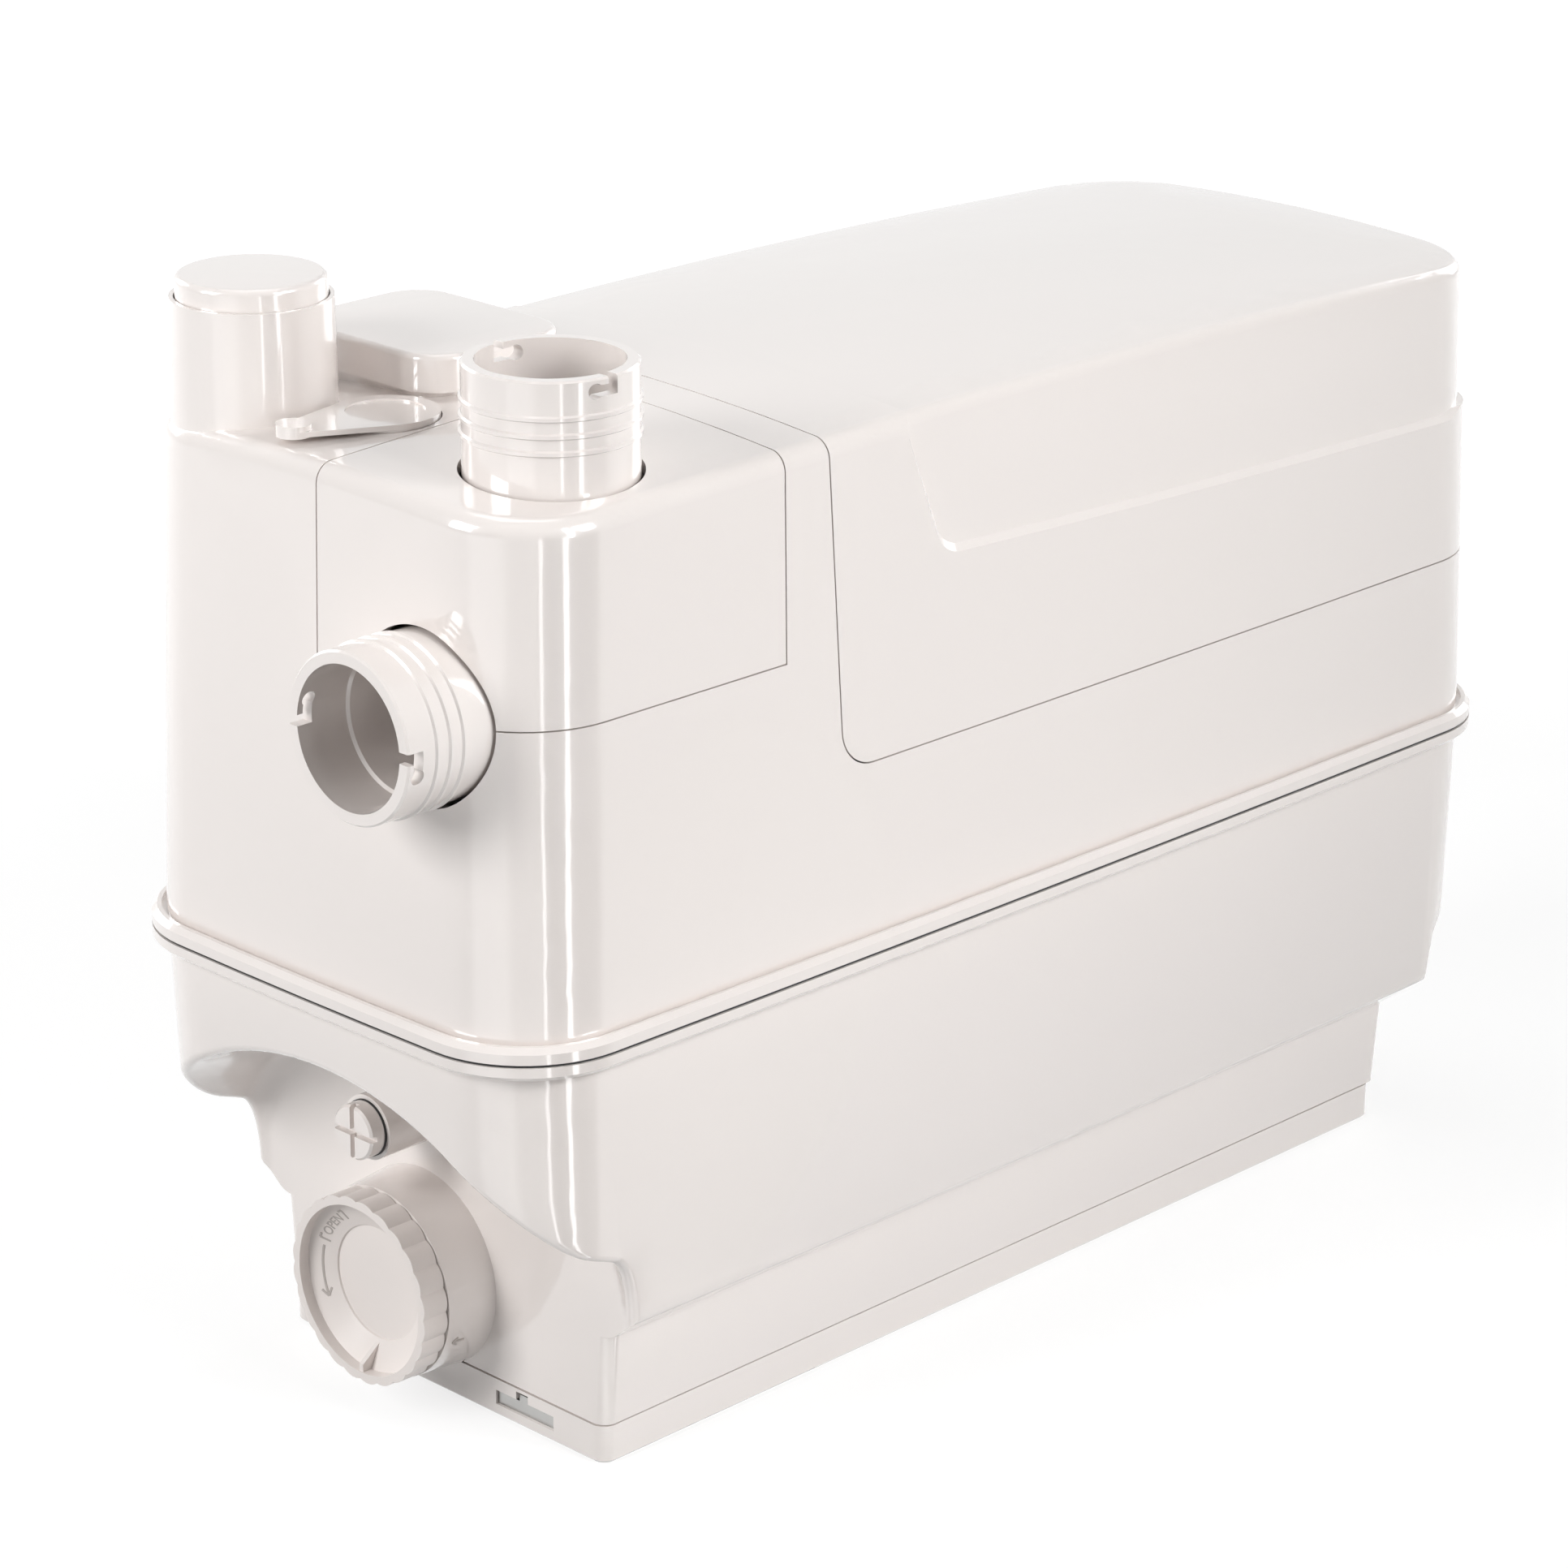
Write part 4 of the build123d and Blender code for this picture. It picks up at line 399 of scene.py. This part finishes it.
def build_rib_tree():
    """Geometry nodes: a row of rounded ribs."""
    tree = bpy.data.node_groups.new("RibRow", "GeometryNodeTree")
    for label, kind in (("Count", "NodeSocketInt"), ("Pitch", "NodeSocketFloat"), ("Length", "NodeSocketFloat"),
                        ("Width", "NodeSocketFloat"), ("Height", "NodeSocketFloat"),
                        ("Material", "NodeSocketMaterial")):
        tree.interface.new_socket(name=label, in_out="INPUT", socket_type=kind)
    tree.interface.new_socket(name="Geometry", in_out="OUTPUT", socket_type="NodeSocketGeometry")
    entry = tree.nodes.new("NodeGroupInput")
    leave = tree.nodes.new("NodeGroupOutput")
    line = tree.nodes.new("GeometryNodeMeshLine")
    step = tree.nodes.new("ShaderNodeCombineXYZ")
    spine = tree.nodes.new("GeometryNodeCurvePrimitiveLine")
    near = tree.nodes.new("ShaderNodeCombineXYZ")
    far = tree.nodes.new("ShaderNodeCombineXYZ")
    section = tree.nodes.new("GeometryNodeCurvePrimitiveQuadrilateral")
    soften = tree.nodes.new("GeometryNodeFilletCurve")
    soften.mode = "POLY"
    soften.inputs["Count"].default_value = RIB_ROUND_STEPS
    sweep = tree.nodes.new("GeometryNodeCurveToMesh")
    sweep.inputs["Fill Caps"].default_value = True
    copies = tree.nodes.new("GeometryNodeInstanceOnPoints")
    solid = tree.nodes.new("GeometryNodeRealizeInstances")
    paint = tree.nodes.new("GeometryNodeSetMaterial")
    join(tree, (entry.outputs["Pitch"], step.inputs["X"]), (step.outputs[0], line.inputs["Offset"]),
         (entry.outputs["Count"], line.inputs["Count"]),
         (math_node(tree, "MULTIPLY", entry.outputs["Length"], -0.5), near.inputs["Y"]),
         (math_node(tree, "MULTIPLY", entry.outputs["Length"], 0.5), far.inputs["Y"]),
         (near.outputs[0], spine.inputs["Start"]), (far.outputs[0], spine.inputs["End"]),
         (entry.outputs["Width"], section.inputs["Width"]), (entry.outputs["Height"], section.inputs["Height"]),
         (section.outputs[0], soften.inputs["Curve"]),
         (math_node(tree, "MULTIPLY", entry.outputs["Height"], RIB_ROUND), soften.inputs["Radius"]),
         (spine.outputs[0], sweep.inputs["Curve"]), (soften.outputs[0], sweep.inputs["Profile Curve"]),
         (line.outputs[0], copies.inputs["Points"]), (sweep.outputs[0], copies.inputs["Instance"]),
         (copies.outputs[0], solid.inputs[0]), (solid.outputs[0], paint.inputs["Geometry"]),
         (entry.outputs["Material"], paint.inputs["Material"]), (paint.outputs[0], leave.inputs[0]))
    return tree


def node_made(tree, values):
    """The mesh that a geometry-nodes tree makes from its named inputs."""
    host = new_mesh("Host", [], [])
    modifier = host.modifiers.new("Nodes", "NODES")
    modifier.node_group = tree
    for socket in tree.interface.items_tree:
        if socket.in_out == "INPUT":
            modifier[socket.identifier] = values[socket.name]
    return mesh_of(host)


RIB_TREE = build_rib_tree()
lid_low, lid_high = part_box("control_lid")
RIB_COUNT = 7
RIB_PITCH = 0.006
RIB_LONG = 0.036
RIB_WIDE = 0.0022
RIB_HIGH = 0.0016
ribs = bmesh.new()
ribs.from_mesh(node_made(RIB_TREE, {"Count": RIB_COUNT, "Pitch": RIB_PITCH, "Length": RIB_LONG,
                                    "Width": RIB_WIDE, "Height": RIB_HIGH, "Material": black_plastic}))
middle = Vector(((lid_low[0] + lid_high[0]) / 2 - RIB_PITCH * (RIB_COUNT - 1) / 2,
                 (lid_low[1] + lid_high[1]) / 2, lid_high[2]))
bmesh.ops.translate(ribs, verts=ribs.verts, vec=middle)
finish_piece("control_lid_ribs", ribs, black_plastic, "base")


# Studio

WHITE = (1, 1, 1, 1)
AMBIENT = 0.1
# The floor is white where it is seen; in reflections alone it also shows painted bright and dark bands laid out
# on it, painted reflections that put streaks of sheen and shade on the rounded corners
FLOOR_HALF = 6.0
FLOOR_NEAR, FLOOR_FAR = 0.45, 1.3
FLOOR_LIFT, FLOOR_FAR_LIFT = 0.72, 0.98
FLOOR_SHADE = 0.3
FLOOR_ROUGH = 0.8
CORNER_X, CORNER_Y = -0.14, -0.075
BAND_BLUR = 0.3


def seen_directly(tree):
    """1 for a ray that comes from the camera or off a glossy or clear surface, otherwise 0."""
    path = tree.nodes.new("ShaderNodeLightPath")
    direct = math_node(tree, "MAXIMUM", path.outputs["Is Camera Ray"], path.outputs["Is Glossy Ray"])
    return math_node(tree, "MAXIMUM", direct, path.outputs["Is Transmission Ray"])


def painted_reflection_band(tree, azimuth, half_width):
    """A mask for a painted reflection on the floor: a wedge that opens from the rounded corner in one
    direction, in degrees.
    """
    place = tree.nodes.new("ShaderNodeTexCoord").outputs["Object"]
    axes = tree.nodes.new("ShaderNodeSeparateXYZ")
    join(tree, (place, axes.inputs[0]))
    across = math_node(tree, "SUBTRACT", axes.outputs["X"], CORNER_X)
    along = math_node(tree, "SUBTRACT", axes.outputs["Y"], CORNER_Y)
    turn = math_node(tree, "ARCTAN2", math_node(tree, "MULTIPLY", along, -1.0),
                     math_node(tree, "MULTIPLY", across, -1.0))
    off = math_node(tree, "ABSOLUTE", math_node(tree, "SUBTRACT", turn, math.radians(azimuth - 180)))
    fade = tree.nodes.new("ShaderNodeMapRange")
    fade.interpolation_type = "SMOOTHSTEP"
    fade.inputs["From Min"].default_value = math.radians(half_width * (1 + BAND_BLUR))
    fade.inputs["From Max"].default_value = math.radians(half_width * (1 - BAND_BLUR))
    join(tree, (off, fade.inputs["Value"]))
    return fade.outputs["Result"]


# Each painted reflection band's azimuth, half width in degrees and strength; a strength below 0 darkens the
# floor where it is reflected, a painted dark reflection
PAINTED_REFLECTION_BANDS = ((238.8, 1.8, 2.6), (264.3, 3.0, 3.4), (285, 17, -0.72), (252, 10, -0.72), (186, 18, 0.6))
floor_material, floor_tree, floor_shader = new_material("PaleFloor")
floor_shader.inputs["Base Color"].default_value = (FLOOR_SHADE, FLOOR_SHADE, FLOOR_SHADE, 1)
floor_shader.inputs["Roughness"].default_value = FLOOR_ROUGH
floor_shader.inputs["Emission Color"].default_value = WHITE
# Painted reflections: emission bands that only glossy rays see, which paint sheen streaks and dark bands on the
# rounded corners
painted_reflections = [math_node(floor_tree, "MULTIPLY", painted_reflection_band(floor_tree, azimuth, half_width), strength)
         for azimuth, half_width, strength in PAINTED_REFLECTION_BANDS]
painted_reflection_sum = painted_reflections[0]
for painted_band in painted_reflections[1:]:
    painted_reflection_sum = math_node(floor_tree, "ADD", painted_reflection_sum, painted_band)
mirrored = floor_tree.nodes.new("ShaderNodeLightPath").outputs["Is Glossy Ray"]
reach = floor_tree.nodes.new("ShaderNodeVectorMath")
reach.operation = "LENGTH"
paler = floor_tree.nodes.new("ShaderNodeMapRange")
for socket, value in (("From Min", FLOOR_NEAR), ("From Max", FLOOR_FAR), ("To Min", FLOOR_LIFT),
                      ("To Max", FLOOR_FAR_LIFT)):
    paler.inputs[socket].default_value = value
join(floor_tree, (floor_tree.nodes.new("ShaderNodeTexCoord").outputs["Object"], reach.inputs[0]),
     (reach.outputs["Value"], paler.inputs["Value"]))
seen_floor = math_node(floor_tree, "MULTIPLY", seen_directly(floor_tree), paler.outputs["Result"])
lift = math_node(floor_tree, "ADD", seen_floor, math_node(floor_tree, "MULTIPLY", mirrored, painted_reflection_sum))
join(floor_tree, (math_node(floor_tree, "MAXIMUM", lift, 0.0), floor_shader.inputs["Emission Strength"]))
floor_corners = [(-FLOOR_HALF, -FLOOR_HALF, 0), (FLOOR_HALF, -FLOOR_HALF, 0), (FLOOR_HALF, FLOOR_HALF, 0),
                 (-FLOOR_HALF, FLOOR_HALF, 0)]
floor = new_mesh("StudioFloor", floor_corners, [(0, 1, 2, 3)], floor_material)

world = bpy.data.worlds.new("Studio")
bpy.context.scene.world = world
world.use_nodes = True
backdrop = world.node_tree.nodes["Background"]
backdrop.inputs["Color"].default_value = WHITE
seen = math_node(world.node_tree, "MULTIPLY", seen_directly(world.node_tree), 1.0 - AMBIENT)
join(world.node_tree, (math_node(world.node_tree, "ADD", seen, AMBIENT), backdrop.inputs["Strength"]))


STRIP_AWAY = 1.8
STRIP_HIGH = 1.8
STRIP_WIDE = 0.22
STRIP_LIFT = 0.1
STRIP_AZIMUTH = 266
STRIP_POWER = 13
WIDEST_BEAM = 180


def softbox(name, place, target, size, power, beam=WIDEST_BEAM):
    """A rectangular area lamp that looks at a point, with its beam's width in degrees."""
    data = bpy.data.lights.new(name, "AREA")
    data.shape = "RECTANGLE"
    data.size, data.size_y = size
    data.energy = power
    data.spread = math.radians(beam)
    lamp = bpy.data.objects.new(name, data)
    bpy.context.scene.collection.objects.link(lamp)
    lamp.location = place
    lamp.rotation_euler = (Vector(target) - Vector(place)).to_track_quat("-Z", "Y").to_euler()


def lamp_around(name, target, azimuth, elevation, away, size, power, beam):
    """A softbox placed by its direction from the point that it lights."""
    turn, rise = math.radians(azimuth), math.radians(elevation)
    place = Vector(target) + away * Vector((math.cos(turn) * math.cos(rise), math.sin(turn) * math.cos(rise),
                                            math.sin(rise)))
    softbox(name, place, target, size, power, beam)


def strip(name, azimuth, power):
    """A tall narrow softbox that stands on one side, for the sheen along the rounded corners."""
    turn = math.radians(azimuth)
    place = (STRIP_AWAY * math.cos(turn), STRIP_AWAY * math.sin(turn), STRIP_HIGH / 2 + STRIP_LIFT)
    softbox(name, place, (0.0, 0.0, place[2]), (STRIP_WIDE, STRIP_HIGH), power)


# Each softbox's target, azimuth, elevation, distance, size, power and beam
SOFTBOXES = {"EndLight": ((-0.165, -0.01, 0.14), 161, 25, 1.6, (0.7, 0.9), 19.8, WIDEST_BEAM),
             "SideLight": ((-0.12, -0.09, 0.14), 290, 30, 1.6, (0.5, 0.9), 1.2, 40),
             "TopLight": ((0, 0, 0.25), 60, 75, 1.9, (1.0, 1.0), 4.6, WIDEST_BEAM),
             "RearLight": ((0.1, 0.05, 0.14), 100, 22, 1.8, (0.9, 0.9), 8.3, WIDEST_BEAM),
             "FarLight": ((0.1, 0.05, 0.14), 0, 22, 1.8, (0.9, 0.9), 7.5, WIDEST_BEAM)}
for name, values in SOFTBOXES.items():
    lamp_around(name, *values)
strip("SideStrip", STRIP_AZIMUTH, STRIP_POWER)

# Camera, at the photograph's viewing angle
PHOTO_PIXELS = 1932
FOCAL_PIXELS = 6286.2
EYE = Vector((-0.9307, -0.8865, 0.6020))
LOOK = Vector((0.67068, 0.65603, -0.34615))
ROLL = 0.00539
SIDEWAYS = Vector((0.69926, -0.71487, 0.0))
SENSOR_WIDTH = 36.0
upward = SIDEWAYS.cross(LOOK).normalized()
turned_side = SIDEWAYS * math.cos(ROLL) + upward * math.sin(ROLL)
turned_up = upward * math.cos(ROLL) - SIDEWAYS * math.sin(ROLL)
camera_data = bpy.data.cameras.new("PhotoCamera")
camera_data.sensor_width = SENSOR_WIDTH
camera_data.lens = SENSOR_WIDTH * FOCAL_PIXELS / PHOTO_PIXELS
camera = bpy.data.objects.new("PhotoCamera", camera_data)
bpy.context.scene.collection.objects.link(camera)
camera.matrix_world = Matrix.Translation(EYE) @ Matrix(
    (turned_side, turned_up, -LOOK)).transposed().to_4x4()
bpy.context.scene.camera = camera
bpy.context.scene.view_settings.view_transform = "Standard"
